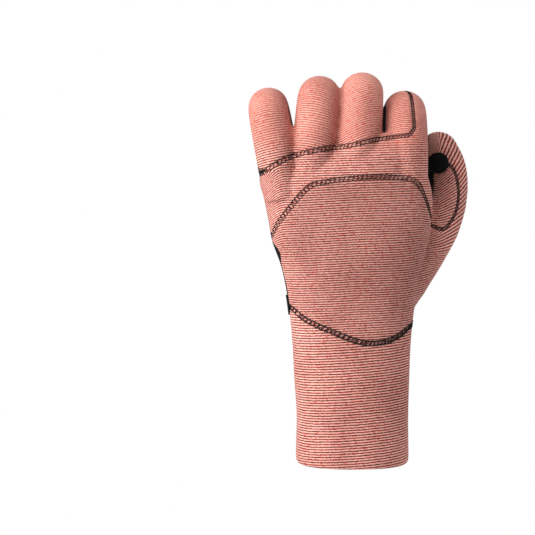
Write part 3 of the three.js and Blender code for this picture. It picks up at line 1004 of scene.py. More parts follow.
@dataclass
class Skin:
    """The glove's uncut outside, to find places and directions on."""

    tree: BVHTree

    @classmethod
    def of(cls, form: Object) -> "Skin":
        """Reads the outside from a form."""
        return cls(BVHTree.FromObject(form, bpy.context.evaluated_depsgraph_get()))

    def under(self, points: np.ndarray) -> tuple[np.ndarray, np.ndarray]:
        """Finds the nearest places on the outside.

        Args:
            points: Points in millimetres.

        Returns:
            The nearest places and the outward directions there.
        """
        places, normals = np.empty_like(points), np.empty_like(points)
        for k, point in enumerate(points):
            place, normal, _, _ = self.tree.find_nearest(Vector(point) * MM)
            places[k], normals[k] = np.array(place) / MM, normal
        return places, normals

    def behind(self, start: np.ndarray, way: np.ndarray) -> tuple[np.ndarray, np.ndarray]:
        """Finds where a straight line from inside the glove leaves its outside.

        Args:
            start: A point inside the glove in millimetres.
            way: The line's direction.

        Returns:
            The place and the outward direction there.
        """
        place, normal, _, _ = self.tree.ray_cast(Vector(start) * MM, Vector(way).normalized())
        return np.array(place) / MM, np.array(normal)


def even(points: np.ndarray, step: float, closed: bool) -> np.ndarray:
    """Spaces points evenly along a line.

    Args:
        points: The line's points.
        step: About how far apart the new points are.
        closed: Whether the line is a loop.

    Returns:
        The new points.
    """
    path = np.vstack([points, points[:1]]) if closed else points
    run = np.concatenate([[0], np.cumsum(np.linalg.norm(np.diff(path, axis=0), axis=1))])
    count = max(2, round(run[-1] / step))
    marks = np.linspace(0, run[-1], count + 1)
    marks = marks[:-1] if closed else marks
    return np.column_stack([np.interp(marks, run, path[:, axis]) for axis in range(3)])


def calmed(points: np.ndarray, closed: bool, rounds: int) -> np.ndarray:
    """Smooths a line, keeping the ends of an open one.

    Args:
        points: The line's points.
        closed: Whether the line is a loop.
        rounds: How many times it is smoothed.

    Returns:
        The new points.
    """
    for _ in range(rounds):
        middle = (np.roll(points, 1, axis=0) + points * 2 + np.roll(points, -1, axis=0)) / 4
        if not closed:
            middle[0], middle[-1] = points[0], points[-1]
        points = middle
    return points


@dataclass
class Seam:
    """A sewn line on the outside, in evenly spaced points in millimetres."""

    name: str
    points: np.ndarray
    closed: bool


@dataclass
class SeamMap:
    """All the sewn lines, and the shallow valley that they pull into the cloth."""

    grain: float = 0.5
    shared: float = 1.6
    shortest: float = 7
    fewest_points: int = 20
    border_calming: int = 6
    seam_calming: int = 4
    valley_width: float = 2.6
    valley_depth: float = 0.55
    seams: list[Seam] = field(default_factory=list)

    def borders(self, panel: Object) -> list[np.ndarray]:
        """Walks round the edges where a panel's outside ends.

        Args:
            panel: The panel.

        Returns:
            The closed lines in millimetres.
        """
        work = bmesh.new()
        work.from_mesh(panel.data)
        links: dict[int, set[int]] = {}
        for edge in work.edges:
            kinds = {face.material_index for face in edge.link_faces}
            if kinds == {Face.OUTSIDE.value, Face.EDGE.value}:
                a, b = (vertex.index for vertex in edge.verts)
                links.setdefault(a, set()).add(b)
                links.setdefault(b, set()).add(a)
        places = np.array([vertex.co for vertex in work.verts]) / MM
        work.free()
        lines = []
        while links:
            here = next(iter(links))
            walk = [here]
            while here in links:
                following = links[here].pop()
                if not links[here]:
                    del links[here]
                if following in links:
                    links[following].discard(here)
                    if not links[following]:
                        del links[following]
                walk.append(following)
                here = following
            lines.append(places[walk[:-1]])
        return [line for line in lines if len(line) > self.fewest_points]

    def trace(self, name: str, panel: Object) -> None:
        """Adds the seams round a panel that no other panel has given yet.

        Args:
            name: What the new seams are called.
            panel: The panel.
        """
        known = self.tree()
        for line in self.borders(panel):
            points = calmed(even(line, self.grain, True), True, self.border_calming)
            fresh = np.array([
                (known.find(point)[2] or math.inf) > self.shared for point in points
            ])
            if fresh.all():
                self.seams.append(Seam(name, points, True))
                continue
            start = int(np.argmin(fresh))
            points, fresh = np.roll(points, -start, axis=0), np.roll(fresh, -start)
            marks = np.flatnonzero(np.diff(np.concatenate([[0], fresh.astype(int), [0]])))
            for first, last in marks.reshape(-1, 2):
                run = points[max(0, first - 2) : last + 2]
                if (last - first) * self.grain > self.shortest:
                    self.seams.append(Seam(name, calmed(run, False, self.seam_calming), False))

    def draw(self, name: str, skin: Skin, inner: np.ndarray, way: np.ndarray) -> None:
        """Adds a seam where rays from inside the glove leave it.

        Args:
            name: What the seam is called.
            skin: The outside.
            inner: The points that the rays start from.
            way: Their direction.
        """
        points = np.array([skin.behind(start, way)[0] for start in inner])
        self.seams.append(Seam(name, even(points, self.grain, False), False))

    def tree(self) -> KDTree:
        """Makes a tree of all the seams' points.

        Returns:
            The tree.
        """
        points = [point for seam in self.seams for point in seam.points]
        tree = KDTree(len(points) + 1)
        for k, point in enumerate(points):
            tree.insert(point, k)
        tree.balance()
        return tree

    def depth(self, gap: np.ndarray) -> np.ndarray:
        """How deep the valley is at a distance from a seam."""
        return self.valley_depth * np.clip(1 - (gap / self.valley_width) ** 2, 0, 1) ** 2

    def press(self, panel: Object, skin: Skin) -> None:
        """Pulls a panel's outside in along the seams.

        Args:
            panel: The panel.
            skin: The uncut outside.
        """
        places = points_of(panel)
        outer = np.zeros(len(places), bool)
        for face in panel.data.polygons:
            if face.material_index == Face.OUTSIDE.value:
                outer[face.vertices] = True
        tree = self.tree()
        numbers = np.flatnonzero(outer)
        gaps = np.array([tree.find(places[k])[2] for k in numbers])
        near = gaps < self.valley_width
        numbers, gaps = numbers[near], gaps[near]
        if len(numbers):
            _, normals = skin.under(places[numbers])
            places[numbers] -= normals * self.depth(gaps)[:, None]
        panel.data.vertices.foreach_set("co", (places * MM).ravel())
        panel.data.update()


@dataclass
class Stitching:
    """Flat seam stitches: two rails of thread with slanted loops across them."""

    seams: SeamMap
    skin: Skin
    open_pitch: float = 2.8
    close_pitch: float = 1.95
    wide: float = 1.32
    narrow: float = 0.8
    slant: float = 0.6
    bow: float = 1.5
    arch: float = 0.3
    bends: int = 6
    fine_thread: float = 0.21
    heavy_thread: float = 0.33
    loop_weight: float = 0.85
    loop_sink: float = 0.85
    loop_lift: float = 0.6
    rail_weight: float = 1.2
    rail_lift: float = 0.7
    sway: float = 0.18
    grain: float = 0.4
    normal_calming: int = 3
    above_wrist: tuple[float, float] = (100, 110)
    below_knuckles: tuple[float, float] = (180, 186)
    before_thumb: tuple[float, float] = (40, 46)
    past_middle: tuple[float, float] = (2, 26)
    beside_index: tuple[float, float] = (38, 46)
    up_index: tuple[float, float] = (201, 206)

    def thread(self, seam: Seam) -> float:
        """The thickness of a seam's thread, which is heaviest at the wrist."""
        return self.heavy_thread if seam.name == "wrist_seam" else self.fine_thread

    def stitch(self, thick: float) -> tuple[np.ndarray, list[tuple[int, ...]]]:
        """Models one slanted loop, once for all of a seam's.

        Args:
            thick: The thread's thickness.

        Returns:
            Its points, as distances across, along and above the seam, and its faces.
        """
        across = np.linspace(-1, 1, self.bends)
        along = np.sin(across * self.bow) * self.slant
        above = self.arch * (1 - across**2)
        line = np.column_stack([across, along, above])
        thread = cord("stitch", line, thick * self.loop_weight, False)
        points = np.array([vertex.co for vertex in thread.data.vertices])
        faces = [tuple(face.vertices) for face in thread.data.polygons]
        discard(thread)
        return points, faces

    def frames(self, seam: Seam) -> tuple[np.ndarray, ...]:
        """Places evenly spaced stations on a seam.

        Args:
            seam: The seam.

        Returns:
            Their places, directions, sides and outward directions, how many stitches come
            before each, and how far the rails are from the seam there.
        """
        points = even(seam.points, self.grain, seam.closed)
        _, normals = self.skin.under(points)
        normals = unit(calmed(normals, seam.closed, self.normal_calming))
        if seam.closed:
            ahead = np.roll(points, -1, axis=0) - np.roll(points, 1, axis=0)
        else:
            ahead = np.gradient(points, axis=0)
        ahead = unit(ahead - normals * np.sum(ahead * normals, axis=1)[:, None])
        x, _, z = points.T
        calm = (
            ease(z, *self.above_wrist)
            * (1 - ease(z, *self.below_knuckles))
            * (1 - ease(x, *self.before_thumb))
        )
        close = ease(x, *self.past_middle) * (1 - calm)
        pitch = self.open_pitch * (1 - close) + self.close_pitch * close
        count = np.cumsum(self.grain / pitch)
        slim = 1 - (1 - ease(x, *self.beside_index)) * (1 - ease(z, *self.up_index))
        reach = self.wide * (1 - slim) + self.narrow * slim
        return points, ahead, np.cross(normals, ahead), normals, count, reach

    def rail(self, seam: Seam, side: float) -> Object:
        """Lays one rail of thread beside a seam.

        Args:
            seam: The seam.
            side: Which side of the seam it is on, 1 or -1.

        Returns:
            The thread.
        """
        thick = self.thread(seam)
        points, _, across, _, count, reach = self.frames(seam)
        away = side * (reach - np.cos(2 * np.pi * count) * self.sway)
        ground, normals = self.skin.under(points + across * away[:, None])
        lift = thick * self.rail_lift - self.seams.depth(reach)
        places = ground + normals * lift[:, None]
        return cord("rail", places * MM, thick * self.rail_weight * MM, seam.closed)

    def loops(self, seam: Seam, shape: tuple[np.ndarray, list[tuple[int, ...]]]) -> Object:
        """Lays the slanted loops across a seam, each a copy of the one stitch.

        Args:
            seam: The seam.
            shape: The stitch's points and faces.

        Returns:
            The loops.
        """
        template, corners = shape
        points, ahead, across, normals, count, reach = self.frames(seam)
        chosen = np.flatnonzero(np.diff(np.floor(count), prepend=0))
        points, ahead, across, normals = (rows[chosen] for rows in (points, ahead, across, normals))
        drop = self.seams.valley_depth * self.loop_sink - self.thread(seam) * self.loop_lift
        centre = points - normals * drop
        made = (
            centre[:, None]
            + (across * reach[chosen, None])[:, None] * template[None, :, :1]
            + ahead[:, None] * template[None, :, 1:2]
            + normals[:, None] * template[None, :, 2:]
        )
        faces = [
            tuple(k * len(template) + corner for corner in face)
            for k in range(len(points))
            for face in corners
        ]
        mesh = bpy.data.meshes.new("loops")
        mesh.from_pydata((made.reshape(-1, 3) * MM).tolist(), [], faces)
        return put("loops", mesh)

    def sew(self, name: str) -> Object:
        """Sews all the seams of one name.

        Args:
            name: The seams' name, which the stitches take.

        Returns:
            The stitches as one piece.
        """
        parts = []
        for seam in self.seams.seams:
            if seam.name == name:
                parts += [self.rail(seam, side) for side in (-1, 1)]
                parts.append(self.loops(seam, self.stitch(self.thread(seam))))
        made = merged(parts)
        made.name = made.data.name = f"{name}_stitches"
        bpy.ops.object.mode_set(mode="EDIT")
        bpy.ops.mesh.select_all(action="SELECT")
        bpy.ops.mesh.normals_make_consistent(inside=False)
        bpy.ops.object.mode_set(mode="OBJECT")
        bpy.ops.object.shade_smooth()
        return made


@dataclass(frozen=True)
class Fan:
    """Courses that spread over the thumb: where they would meet, and where the fan starts."""

    x: float
    z: float
    start: float
    steep: float = 0.95

    def height(self, x: np.ndarray, z: np.ndarray) -> np.ndarray:
        """Finds the course through each place.

        Args:
            x: Places across the hand.
            z: Places up the hand.

        Returns:
            The height at which each course enters the fan.
        """
        slope = (z - self.z) / np.maximum(x - self.x, 1)
        bent = self.steep + (1 + self.steep**2) * (np.arctan(slope) - math.atan(self.steep))
        return self.z + (self.start - self.x) * np.where(slope < self.steep, slope, bent)


@dataclass(frozen=True)
class Courses:
    """How far apart the knit's courses lie, in millimetres, and how they bend over the glove.

    Each pair of numbers is where a change over the glove starts and where it is complete.
    """

    cuff: float = 1.59
    hand: float = 1.41
    knuckles: float = 1.43
    fingers: float = 1.49
    finger_reach: float = 5.5
    stations: int = 64
    cuff_slope: float = 0.075
    hand_slope: float = 0.047
    hand_crown: float = 0.015
    knuckle_slope: float = 0.03
    slope_end: float = 50
    ulnar_edge: float = -42
    ulnar_drop: float = 0.058
    ulnar_start: tuple[float, float] = (131, 139)
    ulnar_stop: tuple[float, float] = (178, 190)
    thumb_edge: float = 28
    thumb_drop: float = 0.005
    thumb_foot: tuple[float, float] = (136, 152)
    hand_fan: Fan = Fan(25.4, 126.5, 50)
    hand_fan_x: tuple[float, float] = (40, 58)
    hand_fan_z: tuple[float, float] = (116, 134)
    web_fan: Fan = Fan(17, 142.6, 55)
    web_fan_x: tuple[float, float] = (50, 58)
    web_fan_end: tuple[float, float] = (190, 200)
    index_x: tuple[float, float] = (20, 32)
    index_z: tuple[float, float] = (193, 216)
    back_of_finger: float = 0.85
    # where the back of the hand is slack and painted darker, as painted shade, and where the
    # fingers are drawn and painted lighter, as painted light from above
    slack_and_shaded_left: tuple[float, float] = (-58, -34)
    slack_and_shaded_right: tuple[float, float] = (42, 56)
    slack_and_shaded_foot: tuple[float, float] = (70, 100)
    drawn_and_lit_foot: tuple[float, float] = (188, 206)

    def ulnar_fall(self, x: np.ndarray, z: np.ndarray) -> np.ndarray:
        """How much the courses drop round the little finger's side of the hand."""
        low = self.ulnar_drop * np.maximum(0, self.ulnar_edge - x) ** 2
        return low * ease(z, *self.ulnar_start) * (1 - ease(z, *self.ulnar_stop))

    def over_hand(self, points: np.ndarray, _: GloveForm) -> np.ndarray:
        """Counts the courses over the back of the hand and the thumb.

        Args:
            points: Places on the hand's back.
            _: The glove's form, which isn't needed here.

        Returns:
            The number of each place's course.
        """
        x, _, z = points.T
        fall = self.thumb_drop * np.maximum(0, x - self.thumb_edge) ** 2
        flat = z + self.ulnar_fall(x, z) - fall * (1 - ease(z, *self.thumb_foot))
        fan = self.hand_fan.height(x, z)
        share = ease(x, *self.hand_fan_x) * ease(z, *self.hand_fan_z)
        slope = self.hand_slope * np.minimum(x, self.slope_end)
        lean = slope - self.hand_crown * np.minimum(np.abs(x), self.slope_end)
        return (flat * (1 - share) + fan * share - lean) / self.hand

    def up_finger(
        self, finger: Finger, points: np.ndarray, form: GloveForm
    ) -> tuple[np.ndarray, np.ndarray]:
        """Measures how far up a finger points are.

        Args:
            finger: The finger.
            points: The points.
            form: The glove's form.

        Returns:
            The points' heights, were the finger straight, and how far they are from its middle.
        """
        s = form.sizes
        line = form.finger_line(finger, self.stations)
        along, aside, gap = line.measure(points, self.back_of_finger * form.radius(finger, 0.5))
        tilt = math.tan(math.radians(finger.courses_tilt))
        return finger.z * s.knuckle_height - s.finger_root + along - tilt * aside, gap

    def over_fingers(self, points: np.ndarray, form: GloveForm) -> np.ndarray:
        """Counts the courses over the fingers.

        Args:
            points: Places on the fingers.
            form: The glove's form, whose fingers they follow.

        Returns:
            The number of each place's course.
        """
        measured = [self.up_finger(finger, points, form) for finger in FINGERS]
        heights, gaps = (np.array(rows) for rows in zip(*measured))
        weights = np.exp(-((gaps / self.finger_reach) ** 2) / 2) + 1e-30
        return np.sum(heights * weights, axis=0) / np.sum(weights, axis=0) / self.fingers

    def over_knuckles(self, points: np.ndarray, form: GloveForm) -> np.ndarray:
        """Counts the courses over the knuckle band, the index finger's side and the web.

        Args:
            points: Places on the knuckle panel.
            form: The glove's form, whose index finger they follow.

        Returns:
            The number of each place's course.
        """
        x, _, z = points.T
        flat = z + self.ulnar_fall(x, z)
        fan = self.web_fan.height(x, z)
        web = ease(x, *self.web_fan_x) * (1 - ease(z, *self.web_fan_end))
        index, _ = self.up_finger(FINGERS[-1], points, form)
        up = ease(z, *self.index_z) * ease(x, *self.index_x)
        band = flat * (1 - up) + index * up
        lean = self.knuckle_slope * np.minimum(x, self.slope_end)
        return (band * (1 - web) + fan * web - lean) / self.knuckles

    def over_cuff(self, points: np.ndarray, _: GloveForm) -> np.ndarray:
        """Counts the courses round the cuff."""
        return (points[:, 2] - self.cuff_slope * points[:, 0]) / self.cuff

    def strain_and_painted_light(self, name: str, points: np.ndarray) -> np.ndarray:
        """How much the knit is drawn out, from 1 over the fingers to -1 on the slack back.

        Args:
            name: The panel's name.
            points: Places on the panel.

        Returns:
            The strain of each place, also painted light on the fingers (above 0) and painted shade
            on the back of the hand (below 0).
        """
        x, _, z = points.T
        if name == "hand_back":
            sides = ease(x, *self.slack_and_shaded_left) * (1 - ease(x, *self.slack_and_shaded_right))
            return -sides * ease(z, *self.slack_and_shaded_foot)
        return ease(z, *self.drawn_and_lit_foot)


class Recipe:
    """A short way to write a material's nodes."""

    def __init__(self, name: str) -> None:
        """Starts a material with a shader and nothing else.

        Args:
            name: The material's name.
        """
        self.material = bpy.data.materials.new(name)
        self.material.use_nodes = True
        self.tree = self.material.node_tree
        self.shader = self.tree.nodes["Principled BSDF"]
        self.place = self.add("ShaderNodeTexCoord").outputs["Object"]

    def feed(self, socket: NodeSocket, value: object) -> None:
        """Links an input to another socket, gives it a value or, with None, leaves it.

        Args:
            socket: The input.
            value: The other socket, the value or None.
        """
        if isinstance(value, NodeSocket):
            self.tree.links.new(value, socket)
        elif value is not None:
            socket.default_value = value

    def add(self, kind: str, *values: object, **settings: object) -> Node:
        """Adds a node.

        Args:
            kind: The node's kind.
            values: What goes into its inputs in turn: a socket, a value, or None to leave one.
            settings: The node's own settings.

        Returns:
            The node.
        """
        node = self.tree.nodes.new(kind)
        for name, value in settings.items():
            setattr(node, name, value)
        for socket, value in zip(node.inputs, values):
            self.feed(socket, value)
        return node

    def sum(self, kind: str, *values: object) -> NodeSocket:
        """Adds a sum of one or two numbers."""
        return self.add("ShaderNodeMath", *values, operation=kind).outputs[0]

    def read(self, name: str) -> NodeSocket:
        """Adds a number that the panel's points hold."""
        return self.add("ShaderNodeAttribute", attribute_name=name).outputs["Fac"]

    def mottle(self, size: float, detail: float = 2, rough: float = 0.5) -> NodeSocket:
        """Adds an even, cloudy pattern.

        Args:
            size: The size of its clouds in millimetres.
            detail: How much finer detail it has.
            rough: How strong that detail is.

        Returns:
            Its number, from 0 to 1.
        """
        node = self.add("ShaderNodeTexNoise", self.place)
        for name, value in (("Scale", 1 / (size * MM)), ("Detail", detail), ("Roughness", rough)):
            node.inputs[name].default_value = value
        return node.outputs["Fac"]

    def ramp(self, number: NodeSocket, stops: Stops) -> NodeSocket:
        """Adds a ramp of colours.

        Args:
            number: The number that picks the colour.
            stops: Places from 0 to 1 with the colour of each.

        Returns:
            The colour.
        """
        node = self.add("ShaderNodeValToRGB", number)
        ramp = node.color_ramp
        ramp.interpolation = "EASE"
        while len(ramp.elements) < len(stops):
            ramp.elements.new(0.5)
        for element, (place, colour) in zip(ramp.elements, stops):
            element.position = place
            element.color = (*colour, 1)
        return node.outputs["Color"]

    def mix(
        self, kind: str, share: NodeSocket | float, first: NodeSocket, second: object
    ) -> NodeSocket:
        """Adds a mix of two colours.

        Args:
            kind: How they are mixed.
            share: How much of the second one is used.
            first: The first colour.
            second: The second colour, as a socket or as numbers.

        Returns:
            The mixed colour.
        """
        node = self.add("ShaderNodeMix", data_type="RGBA", blend_type=kind)
        inputs = {socket.name: socket for socket in node.inputs if socket.enabled}
        self.feed(inputs["Factor"], share)
        self.feed(inputs["A"], first)
        self.feed(inputs["B"], second if isinstance(second, NodeSocket) else (*second, 1))
        return next(socket for socket in node.outputs if socket.enabled)

    def bump(self, height: NodeSocket, depth: float, strength: float = 1) -> None:
        """Raises the surface by a pattern, its depth given in millimetres.

        Args:
            height: The pattern's number.
            depth: How deep it goes.
            strength: How much of it is used.
        """
        node = self.add("ShaderNodeBump", strength, depth * MM)
        self.feed(node.inputs["Height"], height)
        self.feed(self.shader.inputs["Normal"], node.outputs["Normal"])

    def set(self, **values: object) -> None:
        """Sets the shader's own values, with spaces in their names written as underscores.

        Args:
            values: A socket or a value for each name.
        """
        for name, value in values.items():
            self.feed(self.shader.inputs[name.replace("_", " ")], value)


@dataclass(frozen=True)
class KnitFace:
    """The striped knit on the neoprene: pale courses between fine red and dark ones, with painted
    light on the fingers and painted shade on the back of the hand.
    """

    name: str = "knit_face"
    pale: tuple[float, float, float] = (0.95, 0.48, 0.40)
    red: tuple[float, float, float] = (0.21, 0.024, 0.02)
    dark: tuple[float, float, float] = (0.115, 0.024, 0.021)
    # lighter, flatter colour of the drawn knit on the fingers, partly the knit's own and partly
    # painted light from above
    drawn_and_lit: tuple[float, float, float] = (0.76, 0.28, 0.215)
    drawn_and_lit_share: float = 0.42
    # darker colour of the slack knit on the back of the hand, partly the knit's own and partly
    # painted shade
    dense_and_shaded: tuple[float, float, float] = (0.10, 0.035, 0.03)
    dense_and_shaded_share: float = 0.22
    clouds: Stops = ((0.3, (0.86, 0.8, 0.79)), (0.7, (1.05, 1.04, 1.03)))
    flecks: Stops = ((0.55, (1, 1, 1)), (0.68, (0.93, 0.5, 0.46)))
    cloud_size: tuple[float, float] = (28, 3)
    fleck_size: tuple[float, float, float] = (1.6, 2, 0.6)
    thread_size: tuple[float, float] = (0.9, 1)
    wander_size: float = 9
    wander: float = 0.3
    fray: float = 0.5
    relief: float = 0.22
    relief_strength: float = 0.8
    rib_height: float = -1.6
    roughness: float = 0.88
    specular: float = 0.2
    sheen: float = 0.19
    sheen_roughness: float = 0.4
    sheen_tint: tuple[float, float, float, float] = (1, 0.9, 0.87, 1)

    def stripes(self) -> Stops:
        """The colours across one pair of courses.

        Returns:
            Places from 0 to 1 with the colour of each.
        """
        pale, red, dark = self.pale, self.red, self.dark
        places = (0.0, 0.06, 0.18, 0.31, 0.43, 0.56, 0.68, 0.81, 0.93)
        return tuple(zip(places, (pale, pale, red, red, pale, pale, dark, dark, pale)))

    def material(self) -> Material:
        """Makes the knit's material.

        Returns:
            The material, which reads the panel's courses and strain; the strain paints the fingers
            lighter and the back of the hand darker, as painted light and shade.
        """
        made = Recipe(self.name)
        cloud, flecks = made.mottle(*self.cloud_size), made.mottle(*self.fleck_size)
        thread, bend = made.mottle(*self.thread_size), made.mottle(self.wander_size)
        drift = made.sum("MULTIPLY", made.sum("SUBTRACT", bend, 0.5), self.wander)
        fuzz = made.sum("MULTIPLY", made.sum("SUBTRACT", thread, 0.5), self.fray)
        count = made.sum("ADD", made.sum("ADD", made.read("courses"), drift), fuzz)
        pair = made.sum("FRACT", made.sum("MULTIPLY", count, 0.5))
        # the strain mixes paint light and shade: a lighter colour on the fingers as painted light
        # from above, a darker one on the back of the hand as painted shade
        strain_and_painted_light = made.read("strain_and_painted_light")
        lit_finger_mix, shaded_back_mix = (
            made.sum("MULTIPLY", strain_and_painted_light, share) for share in (self.drawn_and_lit_share, -self.dense_and_shaded_share)
        )
        knit = made.mix("MIX", shaded_back_mix, made.ramp(pair, self.stripes()), self.dense_and_shaded)
        knit = made.mix("MIX", lit_finger_mix, knit, self.drawn_and_lit)
        knit = made.mix("MULTIPLY", 1, knit, made.ramp(cloud, self.clouds))
        knit = made.mix("MULTIPLY", 1, knit, made.ramp(flecks, self.flecks))
        rib = made.sum("MULTIPLY", made.sum("PINGPONG", count, 0.5), self.rib_height)
        made.bump(made.sum("ADD", rib, thread), self.relief, self.relief_strength)
        made.set(
            Base_Color=knit,
            Roughness=self.roughness,
            Specular_IOR_Level=self.specular,
            Sheen_Weight=self.sheen,
            Sheen_Roughness=self.sheen_roughness,
            Sheen_Tint=self.sheen_tint,
        )
        return made.material


@dataclass(frozen=True)
class PlainFinish:
    """A dark finish that is mottled between two shades and a little rough.

    Its mottle and its grain are each a size in millimetres and how much finer detail they have.
    """

    name: str
    tones: Stops
    mottle: tuple[float, float]
    grain: tuple[float, ...]
    relief: float
    roughness: float
    specular: float = 0.5
    sheen: float = 0

    def material(self) -> Material:
        """Makes the finish's material.

        Returns:
            The material.
        """
        made = Recipe(self.name)
        tone = made.ramp(made.mottle(*self.mottle), self.tones)
        made.bump(made.mottle(*self.grain), self.relief)
        made.set(Base_Color=tone, Roughness=self.roughness)
        made.set(Specular_IOR_Level=self.specular, Sheen_Weight=self.sheen)
        return made.material


@dataclass(frozen=True)
class SmoothSkin(PlainFinish):
    """The matt black skin of plain neoprene."""

    name: str = "smooth_skin"
    tones: Stops = ((0.3, (0.0028, 0.0028, 0.00294)), (0.7, (0.00525, 0.00525, 0.005775)))
    mottle: tuple[float, float] = (14, 4)
    grain: tuple[float, ...] = (0.35, 3, 0.6)
    relief: float = 0.05
    roughness: float = 0.75
    specular: float = 0.14
    sheen: float = 0.02


@dataclass(frozen=True)
class Thread(PlainFinish):
    """The black sewing thread."""

    name: str = "black_thread"
    tones: Stops = ((0.35, (0.0025, 0.0025, 0.0025)), (0.7, (0.011, 0.01045, 0.0099)))
    mottle: tuple[float, float] = (0.5, 1)
    grain: tuple[float, ...] = (0.5, 1)
    relief: float = 0.08
    roughness: float = 0.7
    specular: float = 0.25


@dataclass(frozen=True)
class Lining(PlainFinish):
    """The knit on the inside of the cloth."""

    name: str = "lining"
    tones: Stops = ((0.3, (0.018, 0.018, 0.018)), (0.7, (0.048, 0.048, 0.048)))
    mottle: tuple[float, float] = (0.8, 2)
    grain: tuple[float, ...] = (0.8, 2)
    relief: float = 0.15
    roughness: float = 0.9
    sheen: float = 0.3


@dataclass(frozen=True)
class FoamEdge(PlainFinish):
    """The cut edge of the neoprene sheet."""

    name: str = "foam_edge"
    tones: Stops = ((0.35, (0.012, 0.012, 0.012)), (0.65, (0.034, 0.034, 0.034)))
    mottle: tuple[float, float] = (0.25, 2)
    grain: tuple[float, ...] = (0.25, 2)
    relief: float = 0.06
    roughness: float = 0.95


@dataclass
class Cloth:
    """The glove's cut panels, from the closed forms to dressed cloth."""

    form: GloveForm
    pattern: Pattern
    seams: SeamMap
    courses: Courses = field(default_factory=Courses)
    outside_grain: float = 0.85
    outside_softening: int = 8
    inside_grain: float = 1.7
    inside_softening: int = 4
    cuff_seam_heights: tuple[float, float, float] = (1, 97, 4)
    cuff_seam_way: tuple[float, float, float] = (-1, 0.12, 0)
    panels: dict[str, Object] = field(default_factory=dict)
    skin: Skin | None = None

    def split(self, piece: Object, region: Callable[[float], Object], stays: Join) -> Object:
        """Cuts a piece in two, with a small gap between the two.

        Args:
            piece: The piece.
            region: Makes the region that it is cut with, its edge moved out.
            stays: What is left of the piece: KEEP for what is in the region, CUT for the rest.

        Returns:
            The other part.
        """
        other = piece.copy()
        other.data = piece.data.copy()
        bpy.context.scene.collection.objects.link(other)
        kept, rest = (piece, other) if stays is Join.KEEP else (other, piece)
        join(kept, region(0), Join.KEEP)
        join(rest, region(self.form.sizes.seam_gap), Join.CUT)
        return other

    def cut(self) -> None:
        """Makes the hollow form and cuts it into its panels."""
        wall = self.form.sizes.wall
        outside = self.form.whole(0, self.outside_grain, self.outside_softening)
        inside = self.form.whole(-wall, self.inside_grain, self.inside_softening)
        log.info("forms of %d and %d faces", len(outside.data.polygons), len(inside.data.polygons))
        self.skin = Skin.of(outside)
        shell = join(outside, inside, Join.CUT)
        hand = self.split(shell, self.pattern.below_wrist, Join.KEEP)
        back = self.split(hand, self.pattern.palm_region, Join.KEEP)
        band = self.split(back, self.pattern.knuckle_region, Join.CUT)
        first, second, *scraps = bodies(back)
        discard(*scraps)
        lower, upper = sorted(
            (first, second), key=lambda part: min(corner[2] for corner in part.bound_box)
        )
        self.panels = {
            "cuff": largest(shell, "cuff_cloth"),
            "hand_back": lower,
            "knuckle_panel": largest(band, "knuckle_cloth"),
            "fingers": upper,
            "palm": largest(hand, "palm_cloth"),
        }
        lower.name, upper.name = "hand_back_cloth", "finger_cloth"
        for name, panel in self.panels.items():
            surface = sum(face.area for face in panel.data.polygons) / 2
            log.info("%s: %d faces, %.5f square metres", name, len(panel.data.polygons), surface)

    def sew_lines(self) -> None:
        """Finds the seams between the panels and presses the cloth in along them."""
        self.seams.trace("wrist_seam", self.panels["cuff"])
        self.seams.trace("palm_seam", self.panels["palm"])
        self.seams.trace("back_seam", self.panels["knuckle_panel"])
        heights = np.arange(*self.cuff_seam_heights, dtype=float)
        inner = np.column_stack([heights * 0, heights * 0, heights])
        self.seams.draw("cuff_seam", self.skin, inner, np.array(self.cuff_seam_way))
        for seam in self.seams.seams:
            length = len(seam.points) * self.seams.grain
            log.info("%s: %.0f mm%s", seam.name, length, ", closed" if seam.closed else "")
        for panel in self.panels.values():
            self.seams.press(panel, self.skin)

    def count(self, name: str, points: np.ndarray) -> np.ndarray:
        """Counts a panel's courses at its points.

        Args:
            name: The panel's name.
            points: The panel's points.

        Returns:
            The number of each point's course.
        """
        over = {
            "cuff": self.courses.over_cuff,
            "hand_back": self.courses.over_hand,
            "fingers": self.courses.over_fingers,
            "knuckle_panel": self.courses.over_knuckles,
        }
        return over[name](points, self.form)

    def dress(self, finishes: dict[str, Material], stands_for: dict[str, tuple[str, ...]]) -> None:
        """Gives each panel its finish and its place in the frame.

        Args:
            finishes: The materials by their name.
            stands_for: The model's solids that each panel stands for.
        """
        for name, panel in self.panels.items():
            panel.data.materials.clear()
            for finish in ("smooth_skin" if name == "palm" else "knit_face", "lining", "foam_edge"):
                panel.data.materials.append(finishes[finish])
            if name != "palm":
                places = points_of(panel)
                # the strain also carries the painted light on the fingers and the painted shade on
                # the back of the hand
                for number, values in (
                    ("courses", self.count(name, places)),
                    ("strain_and_painted_light", self.courses.strain_and_painted_light(name, places)),
                ):
                    made = panel.data.attributes.new(number, "FLOAT", "POINT")
                    made.data.foreach_set("value", values)
            take(panel)
            bpy.ops.object.shade_smooth_by_angle(angle=SMOOTH_BELOW)
            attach(panel, "root")
            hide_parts(*stands_for[name])


@dataclass(frozen=True)
class PatchPlace:
    """Where a round patch is: a point behind it in millimetres, and the way out from there."""

    name: str
    behind: tuple[float, float, float]
    out: tuple[float, float, float]


